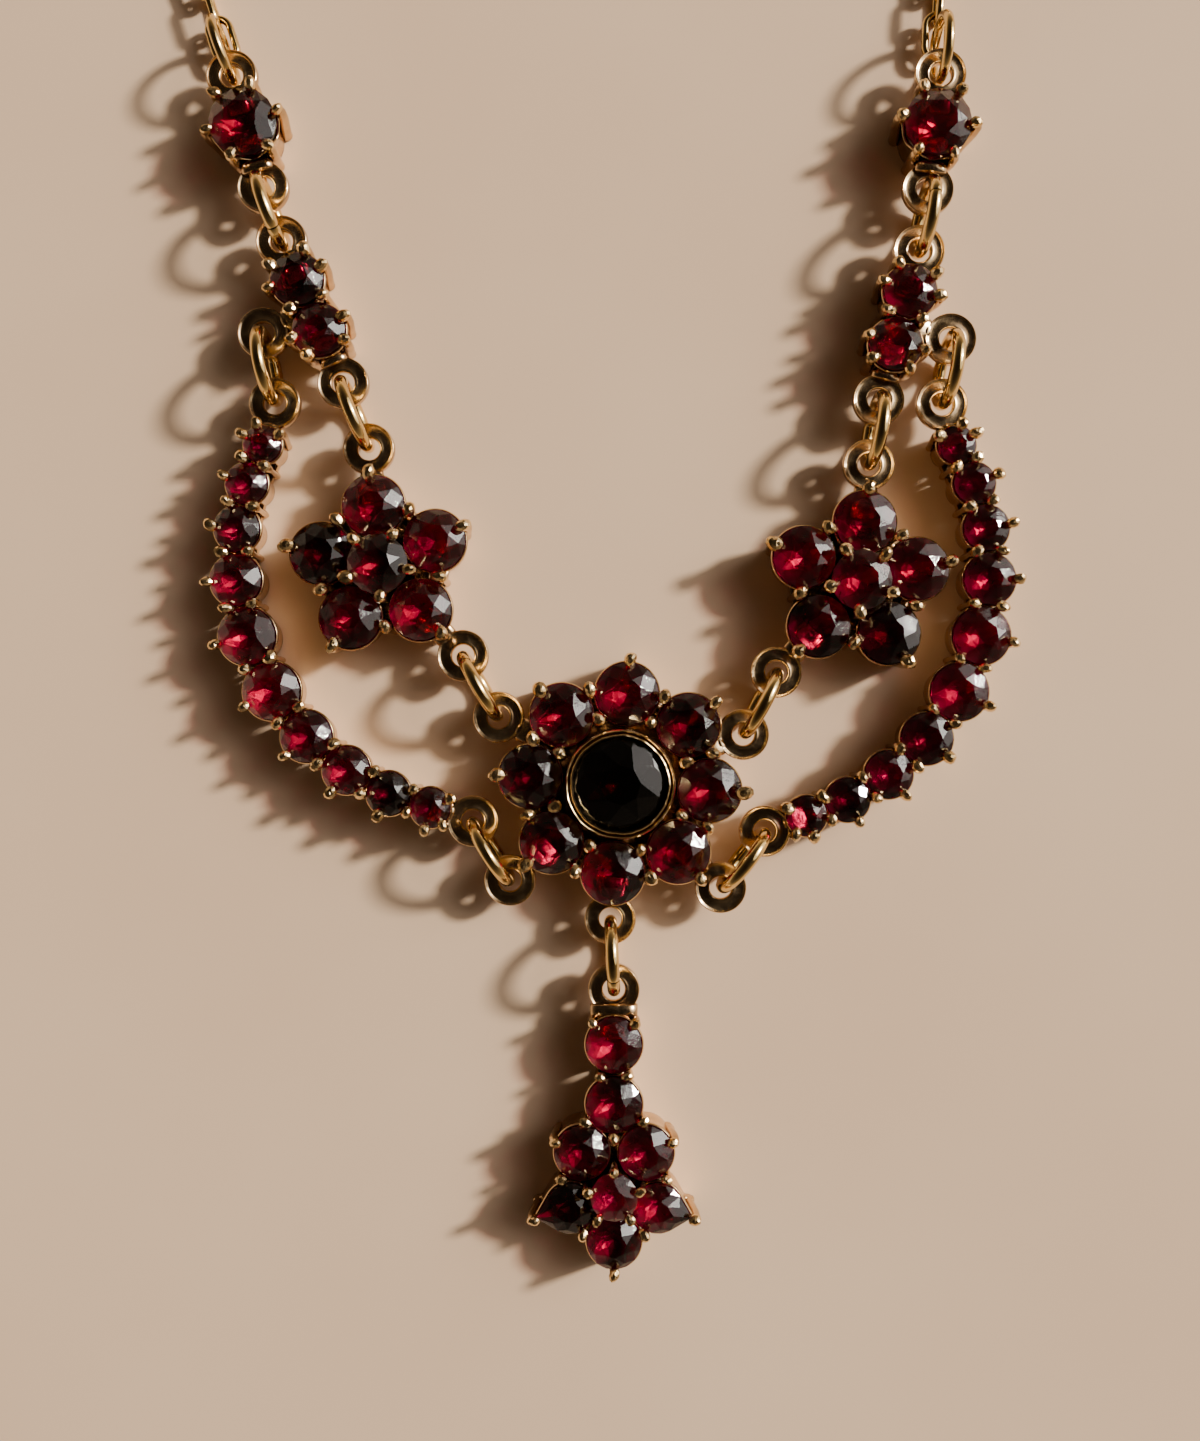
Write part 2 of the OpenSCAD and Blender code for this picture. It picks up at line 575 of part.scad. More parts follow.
// A closed round ring that stands in the plane through two lug holes
module standing_ring(r, wire) {
    rotate([90, 0, 0]) rotate_extrude() translate([r, 0]) circle(r = wire);
}

module jump_ring(i) {
    a = RING_SPANS[i][0];
    b = RING_SPANS[i][1];
    mid = (a + b) / 2;
    color(gold) put([mid[0], mid[1], atan2(b[1] - a[1], b[0] - a[0])]) translate([0, 0, ring_z])
        standing_ring(ring_r, ring_wire_r);
}

module end_ring(side) {
    color(gold) put(on_chain(side, end_ring_at)) translate([0, 0, end_ring_z])
        standing_ring(end_ring_r, end_ring_wire_r);
}

// One oval link along X, lying flat
module link() {
    bend = link_wid / 2 - link_wire_r;
    half = (link_len - link_wid) / 2;
    for (s = [0, 180]) rotate([0, 0, s]) {
        translate([half, 0, 0]) rotate([0, 0, -90]) rotate_extrude(angle = 180) translate([bend, 0])
            circle(r = link_wire_r);
        translate([-half, bend, 0]) rotate([0, 90, 0]) cylinder(h = 2 * half, r = link_wire_r);
    }
}

module chain(side) {
    color(gold) for (k = [0:links_per_side - 1])
        put(on_chain(side, first_link_at + k * link_pitch)) translate([0, 0, link_z])
            rotate([(k % 2) * 90, 0, 0]) link();
}

// A plain barrel with an eye at each end
module clasp() {
    color(gold) put(CLASP_AT) union() {
        translate([0, 0, clasp_r]) rotate([0, 90, 0]) rotate_extrude() polygon([[0, -clasp_half],
            [0.9, -clasp_half], [1.25, -3.6], [1.38, -1.0], [clasp_r, -0.9], [clasp_r, 0.9], [1.38, 1.0],
            [1.25, 3.6], [0.9, clasp_half], [0, clasp_half]]);
        for (s = [-1, 1]) translate([s * (clasp_half + eye_out), 0, eye_r + eye_wire_r])
            standing_ring(eye_r, eye_wire_r);
    }
}

centre_setting();
centre_stone();
pendant_setting();
clasp();
for (k = [0:7]) centre_petal(k);
for (i = [0:3]) double_stone(floor(i / 2), i % 2 + 1);
for (i = [0:7]) drop_stone(i);
for (i = [0:10]) jump_ring(i);
for (side = [0, 1]) {
    single_setting(side);
    single_stone(side);
    double_setting(side);
    flower_setting(side);
    flower_heart_stone(side);
    flower_petals(side);
    arc_setting(side);
    arc_stones(side);
    end_ring(side);
    chain(side);
}
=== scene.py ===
"""Looks of a festoon necklace: faceted garnets in yellow metal, lying on a pale floor.

Forms are worked out in millimetres in each piece's own frame, as the solids are, and are placed
in metres in the row frame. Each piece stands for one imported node.
"""
import math
import random

import bpy
from mathutils import Matrix, Vector


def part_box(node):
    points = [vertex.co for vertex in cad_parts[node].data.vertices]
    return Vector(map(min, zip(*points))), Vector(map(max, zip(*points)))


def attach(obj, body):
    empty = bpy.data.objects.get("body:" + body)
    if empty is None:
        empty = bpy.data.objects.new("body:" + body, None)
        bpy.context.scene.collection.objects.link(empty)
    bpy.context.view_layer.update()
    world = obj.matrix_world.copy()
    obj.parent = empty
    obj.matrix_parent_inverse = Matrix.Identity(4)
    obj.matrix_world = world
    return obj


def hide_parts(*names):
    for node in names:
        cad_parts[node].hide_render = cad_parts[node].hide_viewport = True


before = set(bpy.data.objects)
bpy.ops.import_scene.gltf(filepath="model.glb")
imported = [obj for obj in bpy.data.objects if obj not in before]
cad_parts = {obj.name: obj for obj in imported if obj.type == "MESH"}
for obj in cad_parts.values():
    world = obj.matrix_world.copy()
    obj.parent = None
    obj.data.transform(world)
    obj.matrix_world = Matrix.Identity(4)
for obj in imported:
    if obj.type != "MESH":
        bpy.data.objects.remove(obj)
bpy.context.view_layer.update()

MM = 0.001
SEED = 7
SIDES = ("left", "right")

# Places of the pieces: x, y, turn about Z, measured from the middle of the front
CENTRE_AT = (1.0, -3.15, -4.5)
PENDANT_AT = (0.7, -23.57, 0.0)
FLOWER_AT = ((-11.0, 7.75, 6.4), (12.95, 6.95, -5.9))
DOUBLE_AT = ((-14.6, 20.8, 23.5), (15.15, 20.15, -15.2))
SINGLE_AT = ((-17.85, 29.9, 15.7), (16.9, 29.9, -6.3))
ARC_AT = ((-17.1, 2.7, 24.8), (18.6, 2.7, -22.0))

# Lugs of each piece: distance from the middle, angle, length of the neck inwards
CENTRE_LUGS = ((6.96, 156, 2.2), (6.7, 26, 2.2), (7.4, 226, 1.8), (7.33, 318.5, 1.8),
               (6.88, 270.5, 1.2))
FLOWER_LUGS = ((6.0, 90, 1.8), (6.06, -54, 1.8))
DOUBLE_LUGS = ((3.7, 90, 1.4), (4.1, 270, 1.7), (2.7, 184, 1.8))
SINGLE_LUGS = ((2.75, 90, 1.3), (3.1, 270, 1.6))
PENDANT_LUG = (10.0, 90, 1.4)
# Lugs of the arc: distance from the end stone's middle, and angle off the curve there
ARC_LUGS = ((2.25, 14), (2.2, -5))

# Stones: diameters, with the point and turn of the pear-shaped ones
PETAL_D, CENTRE_D, FLOWER_D, FLOWER_HEART_D = 3.15, 4.76, 3.1, 3.0
DOUBLE_D, SINGLE_D, STEM_D, SHOULDER_D, FOOT_D = 2.66, 3.4, 2.8, 2.75, 2.7
DROP_HEART_D, PEAR_D, PEAR_POINT, PEAR_TURN = 2.35, 2.5, 1.75, -15
ARC_D = (1.9, 2.1, 2.3, 2.6, 2.9, 2.9, 2.6, 2.4, 2.2, 2.0)

# Stones: heights of the girdles' feet over the floor, and how tall a girdle is
GIRDLE_Z, HEART_Z, ARC_Z, CENTRE_Z, GIRDLE_T = 2.3, 2.95, 2.2, 2.94, 0.12

# Stones: where they lie in their pieces
PETAL_CIRCLE, FLOWER_CIRCLE, DOUBLE_PITCH, ARC_R, ARC_GAP = 4.5, 3.0, 2.76, 12.8, 0.12
STEM_1, STEM_2, SHOULDER, PEAR, FOOT = (0, 7.35), (0, 4.35), (1.6, 1.95), (2.2, -0.8), (0, -2.48)

# Metal: plates, collar, lugs and rings
BASE_T, COLLAR_R = 0.5, 2.72
LUG_R, LUG_T, LUG_Z, BLOCK_T, BLOCK_DROP = 1.3, 0.45, 1.6, 0.8, 0.3
RING_R, RING_WIRE, END_RING_R, END_RING_WIRE, REST = 1.7, 0.325, 1.5, 0.25, 0.005

# Round plates: inner and outer radius
CENTRE_PLATE, FLOWER_PLATE, DROP_PLATE = (1.6, 3.5), (0.9, 2.3), (0.7, 2.2)
# Ribs between two cups: radius, first and last angle past the cup
CENTRE_RIB, FLOWER_RIB, RIB_WIDE = (4.2, 14, 31), (2.9, 22, 50), 0.7
# Bars under the stones: widths
DOUBLE_BAR, STEM_BAR, TIP_BAR, ARC_BAR = 1.4, 1.4, 0.5, 0.4
# Cups of the raised stones: how much narrower than the stone, and how much lower
FLOWER_CUP_IN, DROP_CUP_IN, CUP_DOWN = 0.3, 0.34, 0.1
# Blocks that carry a lug: first and last Y, width
DOUBLE_BLOCK, SINGLE_BLOCK, DROP_BLOCK = (-3.15, -2.65, 1.4), (-2.35, -1.8, 1.6), (8.5, 9.3, 2.4)

# Claws: distance off the girdle, radii of the heads, radii of the legs, and how far a foot is in
CLAW_OFF, SMALL_OFF, RAISED_OFF = 0.22, 0.2, 0.26
BALL, MID_BALL, SMALL_BALL, SINGLE_BALL, DROP_BALL = 0.38, 0.35, 0.33, 0.32, 0.3
LEG, OUTER_LEG, SINGLE_LEG, DOUBLE_LEG, END_LEG, THIN_LEG = 0.2, 0.26, 0.3, 0.25, 0.18, 0.15
INSET, ARC_INSET, CENTRE_INSET, INNER_INSET = 0.3, 0.28, 0.15, 0.1

# Chain: links to a side and their sizes
LINKS, LINK_LEN, LINK_WID, LINK_WIRE, LINK_GAP = 83, 2.6, 1.5, 0.19, 0.105
# Chain: first headings, left and right, and the length of the right side's bend outwards
HEADING, RIGHT_START, BEND_OUT = 108, 90, 20
# Chain: from lug to end ring, from there to the first link's hook, and from last link to clasp
END_RING_AT, FIRST_OFF, LINK_TO_EYE = 1.25, 0.1, 1.22

# Clasp: half its length, its radius, and its eyes
CLASP_HALF, CLASP_R, EYE_R, EYE_WIRE, EYE_OUT = 4.0, 1.5, 0.85, 0.2, 0.9


def sin(a):
    return math.sin(math.radians(a))


def cos(a):
    return math.cos(math.radians(a))


def polar(r, a):
    return (r * cos(a), r * sin(a))


def add(p, q):
    return (p[0] + q[0], p[1] + q[1])


def turned(at, p):
    """A point of a piece, in the frame that the pieces lie in."""
    c, s = cos(at[2]), sin(at[2])
    return (at[0] + p[0] * c - p[1] * s, at[1] + p[0] * s + p[1] * c)


def sided(side, p):
    return p if side == 0 else (-p[0], p[1])


# The origin is where the solids put it, read from the centre stone's box
low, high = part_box("centre_stone")
middle = (low + high) / (2 * MM)
ORIGIN = (CENTRE_AT[0] - middle.x, CENTRE_AT[1] - middle.y)


def placed(at, side=0):
    """The matrix from a piece's own millimetres to metres in the row frame."""
    m = Matrix.Scale(MM, 4) @ Matrix.Translation((at[0] - ORIGIN[0], at[1] - ORIGIN[1], 0))
    m = m @ Matrix.Rotation(math.radians(at[2]), 4, "Z")
    return m @ Matrix.Scale(-1, 4, (1, 0, 0)) if side else m


# Shapes in mesh code

class Shape:
    """Vertices and faces in millimetres, gathered from several forms.

    looks holds the number of a face's material where it isn't the first, and flats the faces
    that are shaded flat.
    """

    def __init__(self):
        self.verts, self.faces, self.looks, self.flats = [], [], {}, []

    def add(self, verts, faces, at=None):
        first = len(self.verts)
        turn_over = False
        if at is not None:
            verts = [at @ Vector(p) for p in verts]
            turn_over = at.determinant() < 0
        self.verts += [tuple(p) for p in verts]
        for f in faces:
            f = [first + i for i in f]
            self.faces.append(f[::-1] if turn_over else f)

    def look(self, first, number):
        """Gives the faces from the first on a material by its number."""
        for k in range(first, len(self.faces)):
            self.looks[k] = number


def at_point(x, y, z=0.0, turn=0.0):
    return Matrix.Translation((x, y, z)) @ Matrix.Rotation(math.radians(turn), 4, "Z")


def lathe(shape, profile, at=None, seg=48, wave=None):
    """A closed section of radius and height, turned round Z. A wave bends it by its angle."""
    n = len(profile)
    verts = []
    for k in range(seg):
        a = 360 * k / seg
        for r, z in profile:
            if wave:
                r, z = wave(r, z, a)
            verts.append((r * cos(a), r * sin(a), z))
    faces = []
    for k in range(seg):
        m = (k + 1) % seg
        for i in range(n):
            j = (i + 1) % n
            faces.append((k * n + i, m * n + i, m * n + j, k * n + j))
    shape.add(verts, faces, at)


def tube(shape, path, radii, at=None, seg=12, closed=False, square=0.0):
    """A tube along a path. A radius may be a pair, across and up, and square flattens its sides."""
    too_short = 0.01
    pts = [Vector(p) for p in path]
    n = len(pts)
    ways = []
    for i in range(n):
        a = pts[(i - 1) % n] if closed or i > 0 else pts[i]
        b = pts[(i + 1) % n] if closed or i < n - 1 else pts[i]
        ways.append((b - a).normalized())
    across = Vector((0, 0, 1)).cross(ways[0])
    if across.length < too_short:
        across = Vector((0, 1, 0)).cross(ways[0])
    verts = []
    for i in range(n):
        if i:
            across = ways[i - 1].rotation_difference(ways[i]) @ across
        across = (across - ways[i] * across.dot(ways[i])).normalized()
        up = ways[i].cross(across)
        r = radii[i] if isinstance(radii, (list, tuple)) else radii
        ra, rb = r if isinstance(r, (list, tuple)) else (r, r)
        for k in range(seg):
            a = 360 * (k + 0.5) / seg
            c, s = cos(a), sin(a)
            grow = 1 + square * (1 / max(abs(c), abs(s)) - 1)
            verts.append(pts[i] + across * (ra * c * grow) + up * (rb * s * grow))
    faces = []
    for i in range(n if closed else n - 1):
        j = (i + 1) % n
        for k in range(seg):
            m = (k + 1) % seg
            faces.append((i * seg + k, i * seg + m, j * seg + m, j * seg + k))
    if not closed:
        faces.append(list(reversed(range(seg))))
        faces.append([(n - 1) * seg + k for k in range(seg)])
    shape.add(verts, faces, at)


def bar(shape, a, b, wide, z, tall):
    """A flat bar with soft edges between two points, its underside at a height."""
    soft, squareness = 0.07, 0.8
    mid = z + tall / 2
    half = (wide / 2, tall / 2)
    small = (wide / 2 - soft, tall / 2 - soft)
    d = Vector((b[0] - a[0], b[1] - a[1], 0)).normalized() * soft
    p, q = Vector((a[0], a[1], mid)), Vector((b[0], b[1], mid))
    tube(shape, [p, p + d, q - d, q], [small, half, half, small], seg=16, square=squareness)


def annulus(shape, inner, outer, z, tall, seg=64):
    """A flat ring with rounded edges."""
    e = min(0.1, tall / 3)
    f = e * 0.3
    top = z + tall
    lathe(shape, [(outer - e, z), (outer - f, z + f), (outer, z + e),
                  (outer, top - e), (outer - f, top - f), (outer - e, top),
                  (inner + e, top), (inner + f, top - f), (inner, top - e),
                  (inner, z + e), (inner + f, z + f), (inner + e, z)], seg=seg)


def ellipsoid(shape, centre, radii, at=None, seg=14, rings=7):
    cx, cy, cz = centre
    rx, ry, rz = radii
    verts = [(cx, cy, cz - rz)]
    for i in range(1, rings):
        a = -90 + 180 * i / rings
        for k in range(seg):
            t = 360 * k / seg
            verts.append((cx + rx * cos(a) * cos(t), cy + ry * cos(a) * sin(t), cz + rz * sin(a)))
    verts.append((cx, cy, cz + rz))
    faces = []
    for k in range(seg):
        m = (k + 1) % seg
        faces.append((0, 1 + m, 1 + k))
        for i in range(rings - 2):
            b = 1 + i * seg
            faces.append((b + k, b + m, b + seg + m, b + seg + k))
        last = 1 + (rings - 2) * seg
        faces.append((last + k, last + m, len(verts) - 1))
    shape.add(verts, faces, at)


# Parts of a setting

def cup(shape, d, z, at, flutes=0, deep=0.0, point=0.0, taper=0.27):
    """The open-backed cup under a stone, with a rounded rim just under the girdle.

    Flutes dip its rim and draw in its wall, and it may have a point as its stone has.
    """
    r = d / 2
    foot = r - taper
    waist = 0.25 * deep
    outside = [(foot, 0.0), (foot + 0.06, 0.05), (foot + 0.08, 0.3),
               (0.6 * foot + 0.4 * r, 0.45 * z), (r, 0.78 * z)]
    rim = [(r + 0.07, z - 0.24), (r + 0.1, z - 0.16), (r + 0.09, z - 0.1), (r + 0.04, z - 0.06),
           (r - 0.02, z - 0.07), (r - 0.06, z - 0.13)]
    inside = [(r - 0.12, z - 0.4), (r * 0.8, 0.55 * z), (r * 0.5, 0.35), (r * 0.46, 0.08),
              (r * 0.48, 0.0)]

    def wave(rad, h, a):
        share = max(0.0, h / z)
        dip = 0.5 - 0.5 * cos(flutes * a)
        rad *= outline(r, point, a) / r
        return rad - waist * dip * share, h - deep * dip * share ** 3

    lathe(shape, outside + rim + inside, at, 48, wave if flutes or point else None)


def nugget(shape, rng, centre, radii, turn):
    """The head of a claw: a worn ball of metal with small flats, longer the way it was bent."""
    grain, swell_size, swell_rate, tips = 0.045, 0.06, 200, (4, 20)
    swells = [(Vector([rng.uniform(-1, 1) for _ in range(3)]).normalized(), rng.uniform(0, 360))
              for _ in range(3)]
    lump = Shape()
    ellipsoid(lump, (0, 0, 0), (1, 1, 1), seg=12)
    verts = []
    for v in lump.verts:
        n = Vector(v)
        swell = 1 + rng.uniform(-grain, grain)
        swell += sum(swell_size * sin(swell_rate * n.dot(way) + phase) for way, phase in swells)
        verts.append((n.x * radii[0] * swell, n.y * radii[1] * swell, n.z * radii[2] * swell))
    tip = Matrix.Rotation(math.radians(rng.uniform(*tips)), 4, "Y")
    seat = at_point(centre[0], centre[1], centre[2], turn) @ tip
    first = len(shape.faces)
    shape.add(verts, lump.faces, seat)
    # The head takes the lighter gold: partly worn metal, partly a painted highlight
    shape.look(first, 1)
    shape.flats += range(first, len(shape.faces))


def claw(shape, rng, x, y, z, ball, leg, lean, inset=0.0):
    """A claw: a leg whose foot is inset under the stone, and a head bent over the stone's edge."""
    stray, twist = 0.04, 25
    ball *= rng.uniform(0.9, 1.08)
    lx = lean[0] + rng.uniform(-stray, stray)
    ly = lean[1] + rng.uniform(-stray, stray)
    neck = 0.6 * ball
    rim = z + GIRDLE_T
    size = math.hypot(lean[0], lean[1]) or 1.0
    ix, iy = lean[0] / size * inset, lean[1] / size * inset
    # Share of the inset, share of the lean, height, radius
    rows = ((1, 0, 0.06, leg * 1.05), (0.95, 0, 0.25, leg), (0.5, 0, 0.45 * z, leg * 0.95),
            (0.1, 0, 0.75 * z, leg * 0.9), (0, 0, z, max(neck, leg * 0.85)),
            (0, 0.25, rim + 0.06, neck), (0, 0.6, rim + ball * 0.6, neck * 0.8))
    path = [(x + s * ix + t * lx, y + s * iy + t * ly, h) for s, t, h, _ in rows]
    tube(shape, path, [row[3] for row in rows])
    turn = math.degrees(math.atan2(lean[1], lean[0])) + rng.uniform(-twist, twist)
    head = (x + lx, y + ly, rim + ball * 0.8)
    radii = (ball * 1.1, ball * rng.uniform(0.82, 0.95), ball * 0.84)
    nugget(shape, rng, head, radii, turn)


def ring_claws(shape, rng, d, z, angles, centre=(0, 0), off=CLAW_OFF, ball=BALL, leg=OUTER_LEG,
               bend=0.13):
    """Claws round one stone, at angles, each bent to its middle."""
    for a in angles:
        x, y = add(centre, polar(d / 2 + off, a))
        claw(shape, rng, x, y, z, ball, leg, polar(-bend, a), inset=INSET)


# A lug's section: radius, and height over its middle
LUG_SECTION = [(1.18, -0.225), (1.26, -0.2), (1.3, -0.13), (1.3, 0.13), (1.285, 0.19),
               (1.25, 0.215), (1.21, 0.2), (1.17, 0.165), (1.1, 0.15), (0.78, 0.14),
               (0.72, 0.165), (0.66, 0.18), (0.6, 0.165), (0.565, 0.1), (0.56, -0.12),
               (0.61, -0.2), (0.7, -0.225)]
NECK_WIDE, NECK_DROP = 1.2, 0.02


def washer(shape, x, y):
    """The dished ring of a lug, with a raised rim round its hole."""
    lathe(shape, LUG_SECTION, at_point(x, y, LUG_Z), 44)


def neck_bar(shape, start, end):
    """The flat bar that carries a lug."""
    bar(shape, start, end, NECK_WIDE, LUG_Z - LUG_T / 2 - NECK_DROP, LUG_T + NECK_DROP)


def solder(shape, x, y, turn, wide=0.62):
    """The run of solder where a lug meets its neck."""
    ellipsoid(shape, (0, 0, 0), (0.3, wide, 0.26), at_point(x, y, LUG_Z - NECK_DROP, turn))


def lug(shape, reach, a, neck):
    """A lug at a distance and angle from the piece's middle, on a neck that runs inwards."""
    washer(shape, *polar(reach, a))
    neck_bar(shape, polar(reach - LUG_R + 0.12, a), polar(reach - LUG_R * 0.8 - neck, a))
    solder(shape, *polar(reach - LUG_R + 0.02, a), a)


def rib(shape, a, row):
    """A flat rib between the cup at an angle and the next one."""
    radius, start, end = row
    bar(shape, polar(radius, a + start), polar(radius, a + end), RIB_WIDE, 0.0, BASE_T)


def block(shape, row):
    """The block of metal that carries a lug."""
    start, end, wide = row
    bar(shape, (0, start), (0, end), wide, LUG_Z - BLOCK_DROP, BLOCK_T)


# Faceted stones

# Height of the crown over the girdle as a share of the radius, left and right
RISE = (0.36, 0.25)

# Backs of the stones in flowers and arcs, left and right: 1 plain, 2 bright with a painted glow, 3
# deep with painted shade
FLOWER_BACKS = ((2, 3, 1, 2, 2), (2, 1, 3, 1, 2))
ARC_BACKS = ((1, 2, 1, 1, 2, 1, 1, 1, 1, 2), (1, 1, 1, 2, 2, 1, 1, 1, 1, 1))


def outline(r, point, a):
    """Half width at an angle, round or with a point at angle 0."""
    if point <= r:
        return r
    lean = math.degrees(math.acos(r / point))
    off = abs((a + 180) % 360 - 180)
    return r if off >= lean else r / cos(lean - off)


def gem(shape, d, z, at, point=0.0, table=0.5, rise=0.32, star=0.79, deep=0.7, back=1):
    """An old brilliant: table, 8 stars, 8 kites, 16 upper facets, a girdle, and a full, rounded
    back of 16 upper facets, 8 kites, 8 lower facets and 8 round the culet.

    The facets of its back take the material of the number back.
    """
    r = d / 2
    tall = rise * r
    top_z = z + GIRDLE_T + tall
    girdle = z + GIRDLE_T
    star_z = top_z - tall * (star * cos(22.5) - table) / (1 - table)
    mid_r, low_r = 0.66, 0.3
    low = 0.85 * deep * r
    mid = low * (1 - mid_r * cos(22.5)) / (1 - low_r)
    # Share of the outline, number of points, shift by a share of a step, height
    rounds = ((table, 8, 0, top_z), (star, 8, 0.5, star_z), (1, 16, 0, girdle), (1, 16, 0, z),
              (mid_r, 8, 0.5, z - mid), (low_r, 8, 0, z - low))
    verts = []
    for share, n, shift, h in rounds:
        for k in range(n):
            a = (k + shift) * 360 / n
            w = share * outline(r, point, a)
            verts.append((w * cos(a), w * sin(a), h))
    verts.append((0, 0, z - deep * r))
    # First points of the stars, the girdle's top and foot, the middle and low rounds, the culet
    s, t, g, b, c, culet = 8, 16, 32, 48, 56, 64
    faces = [tuple(range(8))]
    for k in range(8):
        n, p = (k + 1) % 8, (k + 7) % 8
        faces.append((k, s + k, n))
        faces.append((k, s + p, t + 2 * k, s + k))
        faces.append((s + k, t + 2 * k, t + 2 * k + 1))
        faces.append((s + k, t + 2 * k + 1, t + (2 * k + 2) % 16))
    for k in range(16):
        n = (k + 1) % 16
        faces.append((t + k, g + k, g + n, t + n))
    front = len(shape.faces) + len(faces)
    for k in range(8):
        n, p = (k + 1) % 8, (k + 7) % 8
        faces.append((g + 2 * k, b + k, g + 2 * k + 1))
        faces.append((g + 2 * k + 1, b + k, g + (2 * k + 2) % 16))
        faces.append((g + 2 * k, b + p, c + k, b + k))
        faces.append((b + k, c + k, c + n))
        faces.append((c + k, culet, c + n))
    shape.add(verts, faces, at)
    shape.look(front, back)


def set_gem(shape, rng, x, y, d, z, turn=None, **kind):
    """Sets a stone by hand: turned at random and a degree or so out of level."""
    tilt, deeps, tables = 1.6, (0.62, 0.78), (0.42, 0.52)
    tip = Matrix.Rotation(math.radians(rng.uniform(-tilt, tilt)), 4, "X")
    tip = tip @ Matrix.Rotation(math.radians(rng.uniform(-tilt, tilt)), 4, "Y")
    turn = rng.uniform(0, 45) if turn is None else turn
    kind.setdefault("deep", rng.uniform(*deeps))
    kind.setdefault("table", rng.uniform(*tables))
    seat = Matrix.Translation((x, y, z)) @ tip @ Matrix.Translation((0, 0, -z))
    gem(shape, d, z, seat @ at_point(0, 0, 0, turn), **kind)


# Pieces of the object

def finish_piece(name, nodes, shape, matrix, material, smooth=True):
    """Makes the object, places its mesh, gives it its material and ties it to the frame."""
    sharp_from = 48
    mesh = bpy.data.meshes.new(name)
    mesh.from_pydata(shape.verts, [], shape.faces)
    mesh.transform(matrix)
    if matrix.determinant() < 0:
        mesh.flip_normals()
    mesh.polygons.foreach_set("use_smooth", [smooth] * len(mesh.polygons))
    if smooth:
        mesh.set_sharp_from_angle(angle=math.radians(sharp_from))
    for m in (material if isinstance(material, (list, tuple)) else [material]):
        mesh.materials.append(m)
    for k, number in shape.looks.items():
        mesh.polygons[k].material_index = number
    for k in shape.flats:
        mesh.polygons[k].use_smooth = False
    mesh.update()
    piece = bpy.data.objects.new(name, mesh)
    bpy.context.scene.collection.objects.link(piece)
    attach(piece, "root")
    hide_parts(*nodes)


def collar(shape):
    """The raised collar round the centre stone, with a worn, uneven double rim."""
    r = COLLAR_R
    rim_from = 3.1

    def worn(rad, h, a):
        wear = 0.03 * sin(5 * a + 40) + 0.02 * sin(13 * a) + 0.01 * sin(29 * a)
        return (rad + 0.4 * wear, h + wear) if h > rim_from else (rad, h)

    wall = [(r - 0.25, 0.0), (r - 0.2, 0.2), (r - 0.08, 1.2), (r - 0.02, 2.3), (r, 3.02)]
    outer_rim = [(r - 0.005, 3.22), (r - 0.03, 3.33), (r - 0.07, 3.38), (r - 0.11, 3.36),
                 (r - 0.145, 3.27)]
    inner_rim = [(r - 0.18, 3.22), (r - 0.22, 3.25), (r - 0.25, 3.34), (r - 0.29, 3.4),
                 (r - 0.34, 3.41), (r - 0.385, 3.35), (r - 0.38, 3.26)]
    inside = [(r - 0.31, 3.14), (r - 0.27, 3.0), (r - 0.27, 2.86), (r - 0.36, 2.76),
              (r - 0.52, 2.7), (r - 0.9, 2.0), (1.55, 0.9), (1.5, 0.2), (1.56, 0.0)]
    lathe(shape, wall + outer_rim + inner_rim + inside, seg=120, wave=worn)


def centre_setting(rng):
    s = Shape()
    collar(s)
    # The collar takes the lighter gold of the heads, a painted highlight on its rims
    s.look(0, 1)
    annulus(s, *CENTRE_PLATE, 0.0, BASE_T, seg=80)
    # The petal over the middle lug has no outer claw
    bare_petal = 6
    for k in range(8):
        a = 45 * k
        x, y = polar(PETAL_CIRCLE, a)
        cup(s, PETAL_D, GIRDLE_Z, at_point(x, y, 0, a))
        rib(s, a, CENTRE_RIB)
        # Claws shared by two petals: distance, head, bend outwards
        for radius, ball, bend in ((4.95, BALL, -0.08), (3.36, MID_BALL, 0.05)):
            x, y = polar(radius, a + 22.5)
            claw(s, rng, x, y, GIRDLE_Z, ball, LEG, polar(bend, a + 22.5), inset=CENTRE_INSET)
        if k != bare_petal:
            ring_claws(s, rng, PETAL_D, GIRDLE_Z, (a,), polar(PETAL_CIRCLE, a))
    for row in CENTRE_LUGS:
        lug(s, *row)
    return s


def flower_setting(rng):
    s = Shape()
    # Distance of the claws between two petals
    between = 3.12
    annulus(s, *FLOWER_PLATE, 0.0, BASE_T)
    cup(s, FLOWER_HEART_D - FLOWER_CUP_IN, HEART_Z - CUP_DOWN, at_point(0, 0))
    for k in range(5):
        a = 90 + 72 * k
        x, y = polar(FLOWER_CIRCLE, a)
        cup(s, FLOWER_D, GIRDLE_Z, at_point(x, y, 0, a))
        rib(s, a, FLOWER_RIB)
        ring_claws(s, rng, FLOWER_D, GIRDLE_Z, (a,), (x, y))
        x, y = polar(between, a + 36)
        claw(s, rng, x, y, GIRDLE_Z, BALL, LEG, polar(-0.06, a + 36))
        ring_claws(s, rng, FLOWER_HEART_D, HEART_Z, (a + 36,), off=RAISED_OFF, ball=MID_BALL,
                   leg=LEG, bend=0.12)
    for row in FLOWER_LUGS:
        lug(s, *row)
    return s


